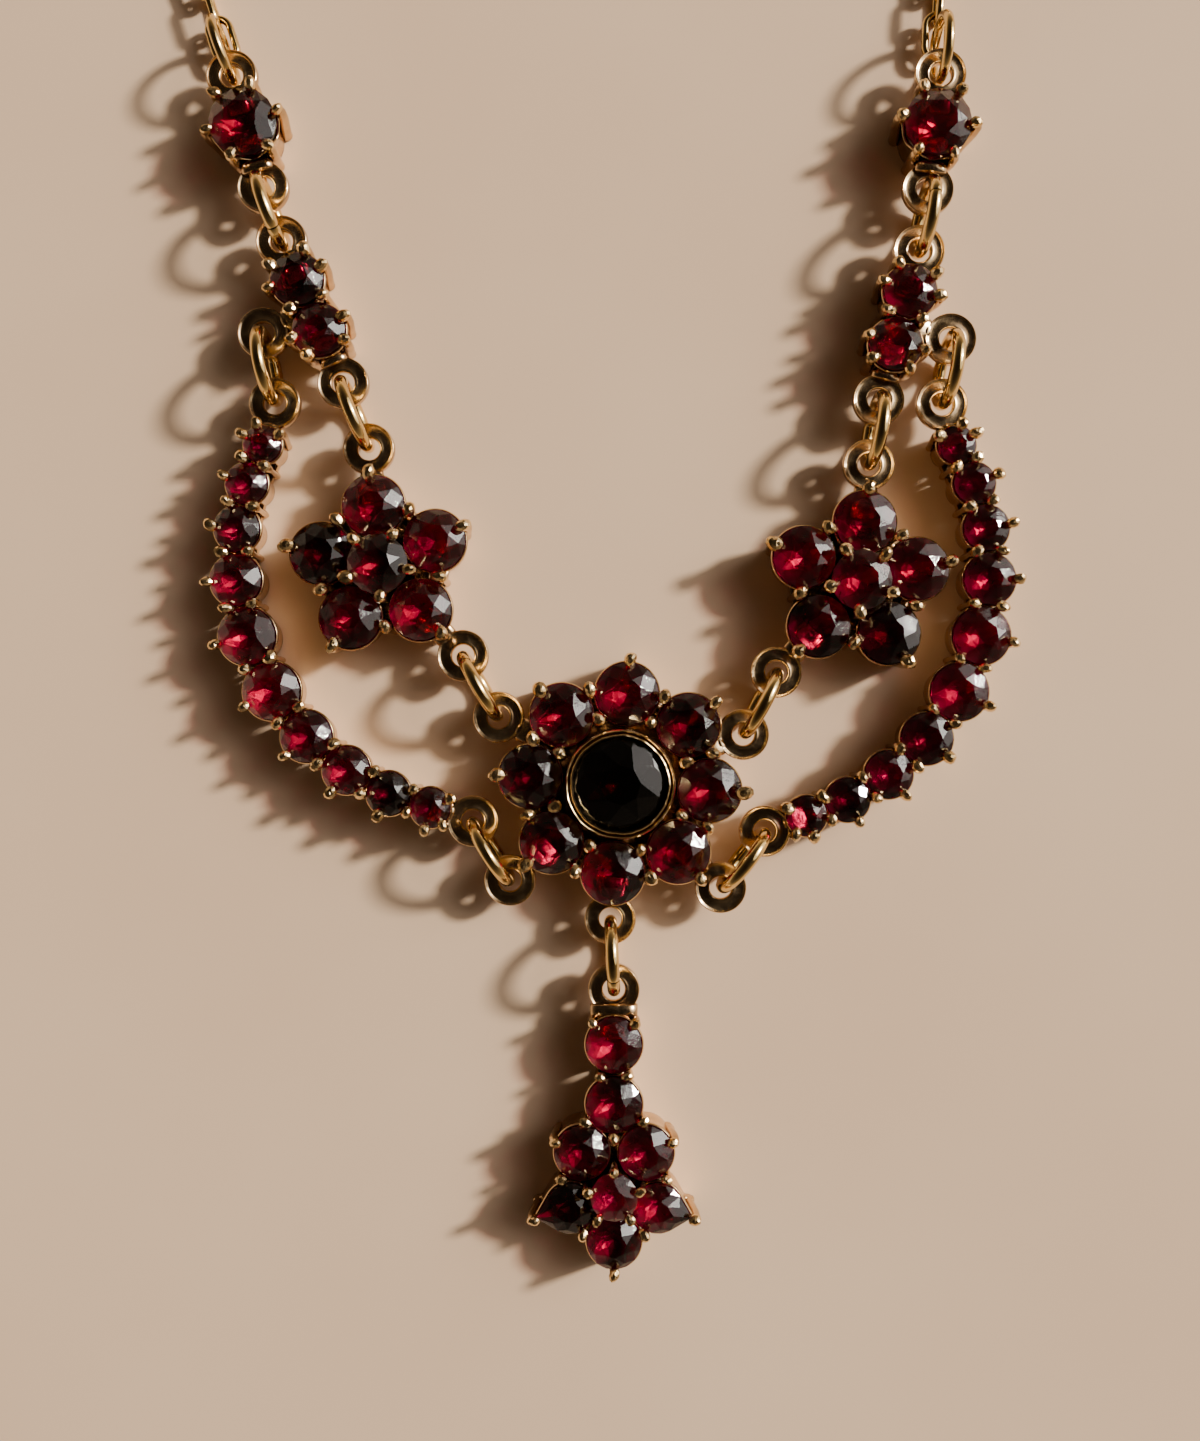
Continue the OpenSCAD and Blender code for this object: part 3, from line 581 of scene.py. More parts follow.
def double_setting(rng):
    s = Shape()
    half = DOUBLE_PITCH / 2
    bar(s, (0, -half), (0, half), DOUBLE_BAR, 0.0, BASE_T)
    block(s, DOUBLE_BLOCK)
    for way in (-1, 1):
        cup(s, DOUBLE_D, GIRDLE_Z, at_point(0, way * half))
        claw(s, rng, 0.95 * way, 0, GIRDLE_Z, MID_BALL, DOUBLE_LEG, (-0.1 * way, 0.0))
        angles = [way * a for a in (0, 180, 48, 132)]
        ring_claws(s, rng, DOUBLE_D, GIRDLE_Z, angles, (0, way * half), ball=MID_BALL)
    for row in DOUBLE_LUGS:
        lug(s, *row)
    return s


def single_setting(rng):
    s = Shape()
    cup(s, SINGLE_D, GIRDLE_Z, at_point(0, 0), flutes=6, deep=0.5)
    block(s, SINGLE_BLOCK)
    ring_claws(s, rng, SINGLE_D, GIRDLE_Z, [60 * k for k in range(6)], off=RAISED_OFF,
               ball=SINGLE_BALL, leg=SINGLE_LEG)
    for row in SINGLE_LUGS:
        lug(s, *row)
    return s


# The arc's curve: distances of its stones along it, and a point at a distance out from it
ARC_S = [0.0]
for one, two in zip(ARC_D, ARC_D[1:]):
    ARC_S.append(ARC_S[-1] + (one + two) / 2 + ARC_GAP)
ARC_S = [v - ARC_S[-1] / 2 for v in ARC_S]
LAST = len(ARC_D) - 1


def arc_angle(v):
    return math.degrees(v / ARC_R)


def arc_point(v, out=0.0):
    return (ARC_R - (ARC_R + out) * cos(arc_angle(v)), -(ARC_R + out) * sin(arc_angle(v)))


def out_of_arc(v, size):
    """The vector of a length that points out of the curve."""
    return polar(size, 180 + arc_angle(v))


def arc_lug(stone, side, reach, off):
    """The middle of a lug past an end stone, with side 90 at the top and -90 at the end."""
    return add(arc_point(ARC_S[stone]), polar(reach, side + arc_angle(ARC_S[stone]) + off))


ARC_TOP = arc_lug(0, 90, *ARC_LUGS[0])
ARC_END = arc_lug(LAST, -90, *ARC_LUGS[1])


def arc_setting(rng):
    s = Shape()
    steps, rail_off, rail_wide = 60, 0.46, 0.15
    for off in (-rail_off, rail_off):
        path = []
        for i in range(steps + 1):
            v = ARC_S[0] + (ARC_S[LAST] - ARC_S[0]) * i / steps
            path.append((*arc_point(v, off), BASE_T / 2))
        tube(s, path, [(rail_wide, BASE_T / 2)] * len(path), seg=12, square=0.6)
    for v, d in zip(ARC_S, ARC_D):
        x, y = arc_point(v)
        cup(s, d, ARC_Z, at_point(x, y, 0, 180 + arc_angle(v)))
        x, y = arc_point(v, d / 2 + SMALL_OFF)
        claw(s, rng, x, y, ARC_Z, SMALL_BALL, LEG, out_of_arc(v, -0.12), inset=ARC_INSET)
    # Between two stones: a claw outside and one inside the curve, and a bar
    for i in range(LAST):
        half = (ARC_S[i + 1] - ARC_S[i]) / 2
        outer = math.sqrt((half - ARC_GAP / 2 + SMALL_OFF) ** 2 - half * half)
        inner = -outer - 0.2
        v = ARC_S[i] + ARC_D[i] / 2 + ARC_GAP / 2
        for w, bend, inset in ((outer, -0.06, 0.0), (inner, 0.1, INNER_INSET)):
            x, y = arc_point(v, w)
            claw(s, rng, x, y, ARC_Z, SMALL_BALL, THIN_LEG, out_of_arc(v, bend), inset=inset)
        bar(s, arc_point(v, inner), arc_point(v, outer), ARC_BAR, 0.0, BASE_T)
    for i, back in ((0, -90), (LAST, 90)):
        for a in (-38, 38):
            turn = 180 + arc_angle(ARC_S[i]) + back + a
            ring_claws(s, rng, ARC_D[i], ARC_Z, (turn,), arc_point(ARC_S[i]), SMALL_OFF,
                       SMALL_BALL, END_LEG)
    for (x, y), i in ((ARC_TOP, 0), (ARC_END, LAST)):
        near = arc_point(ARC_S[i])
        d = Vector((near[0] - x, near[1] - y)).normalized()
        washer(s, x, y)
        neck_bar(s, (x + d.x * 1.15, y + d.y * 1.15), near)
        turn = math.degrees(math.atan2(d.y, d.x))
        solder(s, x + d.x * 1.25, y + d.y * 1.25, turn, wide=0.6)
    return s


# Claws of the pendant's right half: x, y, girdle height, leg, and what the head bends towards
SIDE_CLAWS = ((1.12, 8.58, GIRDLE_Z, 0.2, STEM_1), (0.8, 5.85, GIRDLE_Z, 0.2, (0, 5.85)),
              (1.5, 3.62, GIRDLE_Z, 0.2, (0.6, 3.0)), (3.04, 2.62, GIRDLE_Z, 0.26, SHOULDER),
              (2.72, 0.72, GIRDLE_Z, 0.2, (1.9, 0.6)), (4.12, -1.32, GIRDLE_Z, 0.26, PEAR),
              (1.58, -2.125, GIRDLE_Z, 0.16, (1.1, -1.6)), (1.4, 0.38, HEART_Z, 0.13, (0, 0)),
              (0.84, -1.12, HEART_Z, 0.12, (0, 0)))
MIDDLE_CLAWS = ((0, 2.64, GIRDLE_Z, 0.2, (0, 3.2)), (0, 1.42, HEART_Z, 0.14, (0, 0)),
                (0, FOOT[1] - FOOT_D / 2 - CLAW_OFF, GIRDLE_Z, 0.26, FOOT))
# Rows of SIDE_CLAWS at the shoulder's and the pear's tip, which a bar reaches
TIPS = (3, 5)


def pear_turn(way):
    """How far a pear-shaped stone is turned, on the left with way -1 or on the right with 1."""
    return PEAR_TURN if way > 0 else 180 - PEAR_TURN


def pendant_setting(rng):
    s = Shape()
    # The thicker legs are inset, and a cup at the edge tapers less
    bent, stout, edge_taper = 0.11, 0.16, 0.1
    annulus(s, *DROP_PLATE, 0.0, BASE_T)
    bar(s, (0, 1.5), STEM_1, STEM_BAR, 0.0, BASE_T)
    block(s, DROP_BLOCK)
    cup(s, DROP_HEART_D - DROP_CUP_IN, HEART_Z - CUP_DOWN, at_point(0, 0))
    for (x, y), d in ((STEM_1, STEM_D), (STEM_2, STEM_D), (FOOT, FOOT_D)):
        cup(s, d, GIRDLE_Z, at_point(x, y))
    for way in (-1, 1):
        cup(s, SHOULDER_D, GIRDLE_Z, at_point(way * SHOULDER[0], SHOULDER[1]), taper=edge_taper)
        cup(s, PEAR_D, GIRDLE_Z, at_point(way * PEAR[0], PEAR[1], 0, pear_turn(way)),
            point=PEAR_POINT, taper=edge_taper)
        for k in TIPS:
            bar(s, (0, 0), (way * SIDE_CLAWS[k][0], SIDE_CLAWS[k][1]), TIP_BAR, 0.0, BASE_T)
    for x, y, z, leg, to in MIDDLE_CLAWS:
        bend = Vector((to[0] - x, to[1] - y)).normalized() * bent
        claw(s, rng, x, y, z, DROP_BALL, leg, tuple(bend))
    for x, y, z, leg, to in SIDE_CLAWS:
        bend = Vector((to[0] - x, to[1] - y)).normalized() * bent
        inset = INSET if leg > stout else 0.0
        for way in (-1, 1):
            claw(s, rng, way * x, y, z, DROP_BALL, leg, (way * bend.x, bend.y), inset=inset)
    lug(s, *PENDANT_LUG)
    return s


def closed_ring(shape, r, wire, at, slit=None, seg=14, steps=60):
    """A ring of wire standing in the XZ plane. A slit angle leaves its join just open."""
    if slit is None:
        path = [(r * cos(360 * k / steps), 0, r * sin(360 * k / steps)) for k in range(steps)]
        tube(shape, path, wire, at, seg, closed=True)
        return
    open_by, end_share = 0.7, 0.93
    path = []
    for k in range(steps + 1):
        a = slit + open_by + (360 - 2 * open_by) * k / steps
        path.append((r * cos(a), 0, r * sin(a)))
    radii = [wire] * len(path)
    radii[0] = radii[-1] = wire * end_share
    tube(shape, path, radii, at, seg)


def lug_hole(at, row, side=0):
    return turned(at, sided(side, polar(row[0], row[1])))


def ring_spans():
    """The two lug holes that each jump ring passes through, by the ring's node."""
    spans = {"ring_pendant": (lug_hole(CENTRE_AT, CENTRE_LUGS[4]),
                              lug_hole(PENDANT_AT, PENDANT_LUG))}
    for i, side in enumerate(SIDES):
        single, double, flower, arc = SINGLE_AT[i], DOUBLE_AT[i], FLOWER_AT[i], ARC_AT[i]
        arc_top, arc_end = turned(arc, sided(i, ARC_TOP)), turned(arc, sided(i, ARC_END))
        spans[f"ring_{side}_single_double"] = (lug_hole(single, SINGLE_LUGS[1], i),
                                               lug_hole(double, DOUBLE_LUGS[0], i))
        spans[f"ring_{side}_double_flower"] = (lug_hole(double, DOUBLE_LUGS[1], i),
                                               lug_hole(flower, FLOWER_LUGS[0], i))
        spans[f"ring_{side}_double_arc"] = (lug_hole(double, DOUBLE_LUGS[2], i), arc_top)
        spans[f"ring_{side}_flower_centre"] = (lug_hole(flower, FLOWER_LUGS[1], i),
                                               lug_hole(CENTRE_AT, CENTRE_LUGS[i]))
        spans[f"ring_{side}_arc_centre"] = (arc_end, lug_hole(CENTRE_AT, CENTRE_LUGS[i + 2]))
    return spans


# The chain's route, as in the solids, worked out so that both sides end at the clasp
PITCH = LINK_LEN - 4 * LINK_WIRE - LINK_GAP
FIRST_AT = END_RING_AT + FIRST_OFF - LINK_WIRE + LINK_LEN / 2
EYE_AT = FIRST_AT + (LINKS - 1) * PITCH + LINK_TO_EYE
START = [lug_hole(SINGLE_AT[i], SINGLE_LUGS[0], i) for i in (0, 1)]
HALF_TURN = math.radians(HEADING)
OUT_TURN = HEADING + RIGHT_START - 180
OUT_R = BEND_OUT / math.radians(OUT_TURN)
OUT_DX = OUT_R * (sin(RIGHT_START) - sin(RIGHT_START - OUT_TURN))
OUT_DY = OUT_R * (cos(RIGHT_START - OUT_TURN) - cos(RIGHT_START))
REACH = CLASP_HALF + EYE_OUT
WIDE = START[1][0] + OUT_DX - START[0][0] - 2 * REACH
RISEN = START[1][1] + OUT_DY - START[0][1]
SUM_R = (WIDE - cos(HEADING) * (2 * EYE_AT - BEND_OUT)) / (sin(HEADING) - cos(HEADING) * HALF_TURN)
DIF_R = (RISEN - sin(HEADING) * BEND_OUT) / (1 - cos(HEADING) - sin(HEADING) * HALF_TURN)
BEND_R = ((SUM_R + DIF_R) / 2, (SUM_R - DIF_R) / 2)
STRAIGHT = (EYE_AT - HALF_TURN * BEND_R[0], EYE_AT - BEND_OUT - HALF_TURN * BEND_R[1])
# Rows of length and turn, left and right
ROUTES = (((STRAIGHT[0], 0), (HALF_TURN * BEND_R[0], -HEADING), (REACH, 0)),
          ((BEND_OUT, -OUT_TURN), (STRAIGHT[1], 0), (HALF_TURN * BEND_R[1], HEADING), (REACH, 0)))
HEADINGS = (HEADING, RIGHT_START)


def walk(p, length, turn):
    """The place and heading after a length with a turn spread over it."""
    x, y, way = p
    if turn == 0:
        return (x + length * cos(way), y + length * sin(way), way)
    r = length / math.radians(turn)
    return (x + r * (sin(way + turn) - sin(way)), y - r * (cos(way + turn) - cos(way)), way + turn)


def on_chain(side, s):
    """The place and heading at a distance along one half of the chain."""
    p = (*START[side], HEADINGS[side])
    rows = ROUTES[side]
    for i, (length, turn) in enumerate(rows):
        if s <= length or i == len(rows) - 1:
            return walk(p, s, turn * s / length)
        p = walk(p, length, turn)
        s -= length


def link(shape, at, rng):
    """One oval link of drawn wire, a little thicker where it is soldered."""
    bend = LINK_WID / 2 - LINK_WIRE
    half = (LINK_LEN - LINK_WID) / 2
    path = [(half + bend * cos(a), bend * sin(a), 0) for a in range(-90, 91, 18)]
    path += [(x, bend, 0) for x in (half * 0.4, -half * 0.1, -half * 0.6)]
    path += [(-half + bend * cos(a), bend * sin(a), 0) for a in range(90, 271, 18)]
    path += [(x, -bend, 0) for x in (-half * 0.5, 0, half * 0.5)]
    # The soldered point is in the middle of one side or the other
    side_middles, swollen = (12, 26), 1.1
    radii = [LINK_WIRE] * len(path)
    radii[rng.choice(side_middles)] = LINK_WIRE * swollen
    tube(shape, path, radii, at, seg=9, closed=True)


def chain(side, rng):
    """One half of the chain: links that stand and lie by turns, each rolled a little."""
    s = Shape()
    stray = 5
    for k in range(LINKS):
        x, y, heading = on_chain(side, FIRST_AT + k * PITCH)
        at = at_point(x - ORIGIN[0], y - ORIGIN[1], LINK_WID / 2, heading)
        roll = (k % 2) * 90 + rng.uniform(-stray, stray)
        link(s, at @ Matrix.Rotation(math.radians(roll), 4, "X"), rng)
    return s


def clasp():
    """A barrel in two turned halves with a grooved grip, and an eye at each end."""
    s = Shape()
    grip_half, grip_from, grooves, groove_deep = 0.85, 1.45, 24, 0.05
    along_x = at_point(0, 0, CLASP_R) @ Matrix.Rotation(math.radians(90), 4, "Y")
    # Half the section: radius, distance from the middle
    half = [(0.02, 4.0), (0.55, 3.98), (0.85, 3.88), (0.98, 3.7), (1.06, 3.62), (1.2, 3.55),
            (1.26, 3.4), (1.2, 3.28), (1.24, 2.9), (1.3, 2.0), (1.36, 1.2), (1.4, 1.02),
            (1.47, 0.95), (1.5, 0.8), (1.5, 0.12), (1.42, 0.04)]
    section = [(r, -h) for r, h in half] + [(r, h) for r, h in reversed(half)]

    def groove(r, z, a):
        grip = abs(z) < grip_half and r > grip_from
        return (r - (groove_deep * (0.5 + 0.5 * cos(grooves * a)) if grip else 0.0), z)

    lathe(s, section, along_x, 96, groove)
    for way in (-1, 1):
        eye = at_point(way * REACH, 0, EYE_R + EYE_WIRE)
        closed_ring(s, EYE_R, EYE_WIRE, eye, steps=36, seg=12)
    return s


# Materials

def new_material(name):
    material = bpy.data.materials.new(name)
    material.use_nodes = True
    nodes, links = material.node_tree.nodes, material.node_tree.links
    return material, nodes, links, nodes["Principled BSDF"]


def noise(nodes, links, coord, scale, detail=3.0, rough=0.5):
    n = nodes.new("ShaderNodeTexNoise")
    n.inputs["Scale"].default_value = scale
    n.inputs["Detail"].default_value = detail
    n.inputs["Roughness"].default_value = rough
    links.new(coord, n.inputs["Vector"])
    return n.outputs["Fac"]


def ramp(nodes, links, value, stops):
    """A colour ramp over rows of position and colour."""
    r = nodes.new("ShaderNodeValToRGB")
    while len(r.color_ramp.elements) < len(stops):
        r.color_ramp.elements.new(0.5)
    for e, (at, colour) in zip(r.color_ramp.elements, stops):
        e.position = at
        e.color = (*colour, 1.0)
    links.new(value, r.inputs["Fac"])
    return r.outputs["Color"]


def mapped(nodes, links, value, low_in, high_in, low_out, high_out):
    m = nodes.new("ShaderNodeMapRange")
    for name, v in (("From Min", low_in), ("From Max", high_in),
                    ("To Min", low_out), ("To Max", high_out)):
        m.inputs[name].default_value = v
    links.new(value, m.inputs["Value"])
    return m.outputs["Result"]


def bumped(nodes, links, shader, height, strength, distance):
    b = nodes.new("ShaderNodeBump")
    b.inputs["Strength"].default_value = strength
    b.inputs["Distance"].default_value = distance
    links.new(height, b.inputs["Height"])
    links.new(b.outputs["Normal"], shader.inputs["Normal"])


# Brown patina and painted shade in the hollows of the metal, by how open a place is
HOLLOW_PATINA_AND_SHADE = ((0.1, (0.05, 0.03, 0.02)), (0.35, (0.38, 0.26, 0.18)), (0.65, (1, 1, 1)))
HOLLOW_SHADE_REACH, DENT_DEEP = 0.0009, 0.00003


def gold_material(name, light, deep, rough, dents=0.16):
    """Yellow metal: polished, with a mottled tone, fine wear, and brown patina with painted shade
    in its hollows.
    """
    material, nodes, links, shader = new_material(name)
    coord = nodes.new("ShaderNodeTexCoord").outputs["Object"]
    tone = ramp(nodes, links, noise(nodes, links, coord, 900, 4), [(0.3, deep), (0.7, light)])
    # Ambient occlusion darkens the colour in hollows and crevices: patina, and painted shade
    hollow_shade = nodes.new("ShaderNodeAmbientOcclusion")
    hollow_shade.samples = 16
    hollow_shade.only_local = True
    hollow_shade.inputs["Distance"].default_value = HOLLOW_SHADE_REACH
    dark = ramp(nodes, links, hollow_shade.outputs["AO"], HOLLOW_PATINA_AND_SHADE)
    mix = nodes.new("ShaderNodeMix")
    mix.data_type = "RGBA"
    mix.blend_type = "MULTIPLY"
    mix.inputs["Factor"].default_value = 1.0
    links.new(tone, mix.inputs["A"])
    links.new(dark, mix.inputs["B"])
    links.new(mix.outputs["Result"], shader.inputs["Base Color"])
    shader.inputs["Metallic"].default_value = 1.0
    wear = noise(nodes, links, coord, 2600, 5, 0.6)
    links.new(mapped(nodes, links, wear, 0.3, 0.7, *rough), shader.inputs["Roughness"])
    bumped(nodes, links, shader, noise(nodes, links, coord, 1500, 4, 0.55), dents, DENT_DEEP)
    return material


# The garnets' colours: the front, what a shadow lets through, and the depth of stone
GARNET_FRONT = ((0.35, (0.7, 0.07, 0.3)), (0.65, (0.86, 0.1, 0.42)))
GARNET_THROUGH, GARNET_DEPTH = (0.45, 0.09, 0.24, 1.0), (0.86, 0.03, 0.46, 1.0)
GARNET_DENSITY, GARNET_IOR, SCUFF_STRENGTH, SCUFF_DEEP = 800.0, 1.77, 0.9, 0.00001


def garnet_material():
    """The front of a garnet: clear and refracting, with its colour from the depth of stone that
    light crosses.

    Lamps light the back of the stone through it.
    """
    material, nodes, links, shader = new_material("garnet")
    coord = nodes.new("ShaderNodeTexCoord").outputs["Object"]
    tone = noise(nodes, links, coord, 350, 2)
    links.new(ramp(nodes, links, tone, GARNET_FRONT), shader.inputs["Base Color"])
    shader.inputs["Transmission Weight"].default_value = 1.0
    shader.inputs["IOR"].default_value = GARNET_IOR
    polish = noise(nodes, links, coord, 5000, 3)
    links.new(mapped(nodes, links, polish, 0.4, 0.8, 0.0, 0.08), shader.inputs["Roughness"])
    scuffs = noise(nodes, links, coord, 2600, 5, 0.6)
    bumped(nodes, links, shader, scuffs, SCUFF_STRENGTH, SCUFF_DEEP)
    clear = nodes.new("ShaderNodeBsdfTransparent")
    clear.inputs["Color"].default_value = GARNET_THROUGH
    path = nodes.new("ShaderNodeLightPath")
    mix = nodes.new("ShaderNodeMixShader")
    links.new(path.outputs["Is Shadow Ray"], mix.inputs["Fac"])
    links.new(shader.outputs["BSDF"], mix.inputs[1])
    links.new(clear.outputs["BSDF"], mix.inputs[2])
    links.new(mix.outputs["Shader"], nodes["Material Output"].inputs["Surface"])
    depth = nodes.new("ShaderNodeVolumeAbsorption")
    depth.inputs["Color"].default_value = GARNET_DEPTH
    depth.inputs["Density"].default_value = GARNET_DENSITY
    links.new(depth.outputs["Volume"], nodes["Material Output"].inputs["Volume"])
    return material


def garnet_back_material(name, dark, middle, bright):
    """The back facets of a garnet, which throw light back up through the stone, unevenly from
    stone to stone."""
    material, nodes, links, shader = new_material(name)
    coord = nodes.new("ShaderNodeTexCoord").outputs["Object"]
    stops = ((0.38, dark), (0.54, middle), (0.8, bright))
    tone = ramp(nodes, links, noise(nodes, links, coord, 260, 3), stops)
    links.new(tone, shader.inputs["Base Color"])
    shader.inputs["Metallic"].default_value = 1.0
    worn = noise(nodes, links, coord, 1800, 3)
    links.new(mapped(nodes, links, worn, 0.35, 0.7, 0.27, 0.42), shader.inputs["Roughness"])
    return material


def floor_material():
    material, nodes, links, shader = new_material("floor")
    coord = nodes.new("ShaderNodeTexCoord").outputs["Object"]
    stops = ((0.3, (0.62, 0.43, 0.285)), (0.7, (0.66, 0.47, 0.315)))
    tone = ramp(nodes, links, noise(nodes, links, coord, 40, 4), stops)
    links.new(tone, shader.inputs["Base Color"])
    shader.inputs["Roughness"].default_value = 0.85
    return material


# Backs of the garnets, by kind: the material's name, and its dark, middle and bright tone. The
# bright kind paints a glow, and the deep and dark kinds paint shade
BACKS = {"garnet": ("garnet_back",
                    (0.03, 0.003, 0.012), (0.3, 0.02, 0.17), (0.55, 0.035, 0.31)),
         "bright": ("garnet_painted_glow_back",
                    (0.16, 0.012, 0.09), (0.42, 0.03, 0.24), (0.62, 0.045, 0.36)),
         "deep": ("garnet_painted_shade_back",
                  (0.04, 0.002, 0.015), (0.1, 0.006, 0.05), (0.24, 0.015, 0.13)),
         "dark": ("garnet_painted_black_shade_back",
                  (0.001, 0.0005, 0.0005), (0.003, 0.001, 0.001), (0.006, 0.001, 0.002))}


def make_looks():
    """The materials of each kind of piece. A row of them gives the faces theirs by number."""
    body = gold_material("gold", (0.75, 0.54, 0.31), (0.49, 0.33, 0.19), (0.12, 0.26), 0.24)
    # A lighter gold for the claw heads and the collar: partly worn metal, partly a painted
    # highlight
    heads_worn_and_highlit = gold_material("gold_worn_and_painted_highlight", (0.94, 0.71, 0.4), (0.72, 0.5, 0.23),
                          (0.12, 0.26), 0.3)
    wire = gold_material("gold_wire", (0.88, 0.64, 0.28), (0.7, 0.48, 0.18), (0.08, 0.2))
    front = garnet_material()
    looks = {"body": body, "setting": (body, heads_worn_and_highlit), "wire": wire}
    # The bright, deep and dark backs are lit and shaded copies of the plain back: a painted glow
    # and painted shade
    for kind, row in BACKS.items():
        looks[kind] = (front, garnet_back_material(*row))
    looks["mixed"] = (front, *[looks[kind][1] for kind in ("garnet", "bright", "deep")])
    return looks


# The camera, floor and light

# Camera: height, sensor width, and its focal length and the picture's width in pixels
EYE_HEIGHT, SENSOR, FOCAL_PIXELS, PICTURE_WIDE = 62, 36.0, 1194, 1200
# Half the floor's width in metres
FLOOR_HALF = 5.0

# Sky: height over the horizon and colour, with a darker half on the left
HORIZON = ((0.0, (0.85, 0.62, 0.42)), (0.07, (0.5, 0.38, 0.27)))
SHADED = HORIZON + ((0.25, (0.13, 0.095, 0.065)), (0.6, (0.035, 0.026, 0.018)),
                    (0.94, (0.014, 0.01, 0.007)))
LIT = HORIZON + ((0.25, (0.27, 0.205, 0.145)), (0.6, (0.09, 0.068, 0.048)),
                 (0.94, (0.018, 0.013, 0.009)))

# Lamps: name, azimuth, elevation, spread in degrees, strength, colour
LAMPS = (("key", 22, 31, 6, 6.2, (1.0, 0.93, 0.82)),
         ("halo", 24, 33, 30, 1.55, (1.0, 0.95, 0.88)),
         ("wide", 22, 32, 62, 0.98, (1.0, 0.93, 0.86)))


def camera():
    """Looks straight down from over the floor at the middle of the front."""
    data = bpy.data.cameras.new("camera")
    data.sensor_fit = "HORIZONTAL"
    data.sensor_width = SENSOR
    data.lens = SENSOR * FOCAL_PIXELS / PICTURE_WIDE
    data.clip_start = 0.005
    data.clip_end = 20.0
    eye = bpy.data.objects.new("camera", data)
    eye.location = (-ORIGIN[0] * MM, -ORIGIN[1] * MM, EYE_HEIGHT * MM)
    bpy.context.scene.collection.objects.link(eye)
    bpy.context.scene.camera = eye


def stage():
    mesh = bpy.data.meshes.new("floor")
    corners = [(x * FLOOR_HALF, y * FLOOR_HALF, 0) for x, y in ((-1, -1), (1, -1), (1, 1), (-1, 1))]
    mesh.from_pydata(corners, [], [(0, 1, 2, 3)])
    mesh.materials.append(floor_material())
    floor = bpy.data.objects.new("floor", mesh)
    bpy.context.scene.collection.objects.link(floor)


def sky():
    """A dim studio round the floor, bright at the horizon and darker on the left."""
    world = bpy.data.worlds.new("studio")
    bpy.context.scene.world = world
    world.use_nodes = True
    nodes, links = world.node_tree.nodes, world.node_tree.links
    coord = nodes.new("ShaderNodeTexCoord").outputs["Generated"]
    split = nodes.new("ShaderNodeSeparateXYZ")
    links.new(coord, split.inputs["Vector"])
    mix = nodes.new("ShaderNodeMix")
    mix.data_type = "RGBA"
    to_right = mapped(nodes, links, split.outputs["X"], -0.5, 0.5, 0.0, 1.0)
    links.new(to_right, mix.inputs["Factor"])
    links.new(ramp(nodes, links, split.outputs["Z"], SHADED), mix.inputs["A"])
    links.new(ramp(nodes, links, split.outputs["Z"], LIT), mix.inputs["B"])
    links.new(mix.outputs["Result"], nodes["Background"].inputs["Color"])
    nodes["Background"].inputs["Strength"].default_value = 1.0


def lamp(name, azimuth, elevation, spread, strength, colour):
    """A far, round studio light that lights the whole floor evenly."""
    data = bpy.data.lights.new(name, "SUN")
    data.angle = math.radians(spread)
    data.energy = strength
    data.color = colour
    light = bpy.data.objects.new(name, data)
    across = cos(elevation)
    way = Vector((across * cos(azimuth), across * sin(azimuth), sin(elevation)))
    light.location = way
    light.rotation_euler = way.to_track_quat("Z", "Y").to_euler()
    bpy.context.scene.collection.objects.link(light)


# Dressing: each piece over its node

def metal(name, shape, matrix, look):
    finish_piece("dressed_" + name, [name], shape, matrix, look)


def stones(name, shape, matrix, look):
    finish_piece("dressed_" + name, [name], shape, matrix, look, smooth=False)


def one_stone(rng, name, matrix, x, y, d, z, look, **kind):
    s = Shape()
    set_gem(s, rng, x, y, d, z, **kind)
    stones(name, s, matrix, look)


def dress_centre(rng, looks):
    at = placed(CENTRE_AT)
    # Petals 5 and 6 get deep backs, painted shade, and petal 8 a bright back, a painted glow
    tones = {4: "deep", 5: "deep", 7: "bright"}
    metal("centre_setting", centre_setting(rng), at, looks["setting"])
    # The centre stone's nearly black back is painted shade
    one_stone(rng, "centre_stone", at, 0, 0, CENTRE_D, CENTRE_Z, looks["dark"],
              turn=10, table=0.42, rise=0.25)
    for k in range(8):
        x, y = polar(PETAL_CIRCLE, 45 * k)
        look = looks[tones.get(k, "garnet")]
        one_stone(rng, f"centre_petal_{k + 1}", at, x, y, PETAL_D, GIRDLE_Z, look)


def dress_drop(rng, looks):
    at = placed(PENDANT_AT)
    metal("pendant_setting", pendant_setting(rng), at, looks["setting"])
    one_stone(rng, "stem_stone_1", at, *STEM_1, STEM_D, GIRDLE_Z, looks["garnet"])
    one_stone(rng, "stem_stone_2", at, *STEM_2, STEM_D, GIRDLE_Z, looks["garnet"])
    one_stone(rng, "foot_stone", at, *FOOT, FOOT_D, GIRDLE_Z, looks["garnet"])
    # The heart and the right shoulder stone get bright backs, a painted glow; the left pear a deep
    # back, painted shade
    one_stone(rng, "pendant_heart_stone", at, 0, 0, DROP_HEART_D, HEART_Z, looks["bright"])
    for side, way, shoulder, pear in (("left", -1, "garnet", "deep"),
                                      ("right", 1, "bright", "garnet")):
        one_stone(rng, f"shoulder_stone_{side}", at, way * SHOULDER[0], SHOULDER[1], SHOULDER_D,
                  GIRDLE_Z, looks[shoulder])
        one_stone(rng, f"pear_stone_{side}", at, way * PEAR[0], PEAR[1], PEAR_D,
                  GIRDLE_Z, looks[pear], turn=pear_turn(way), point=PEAR_POINT)


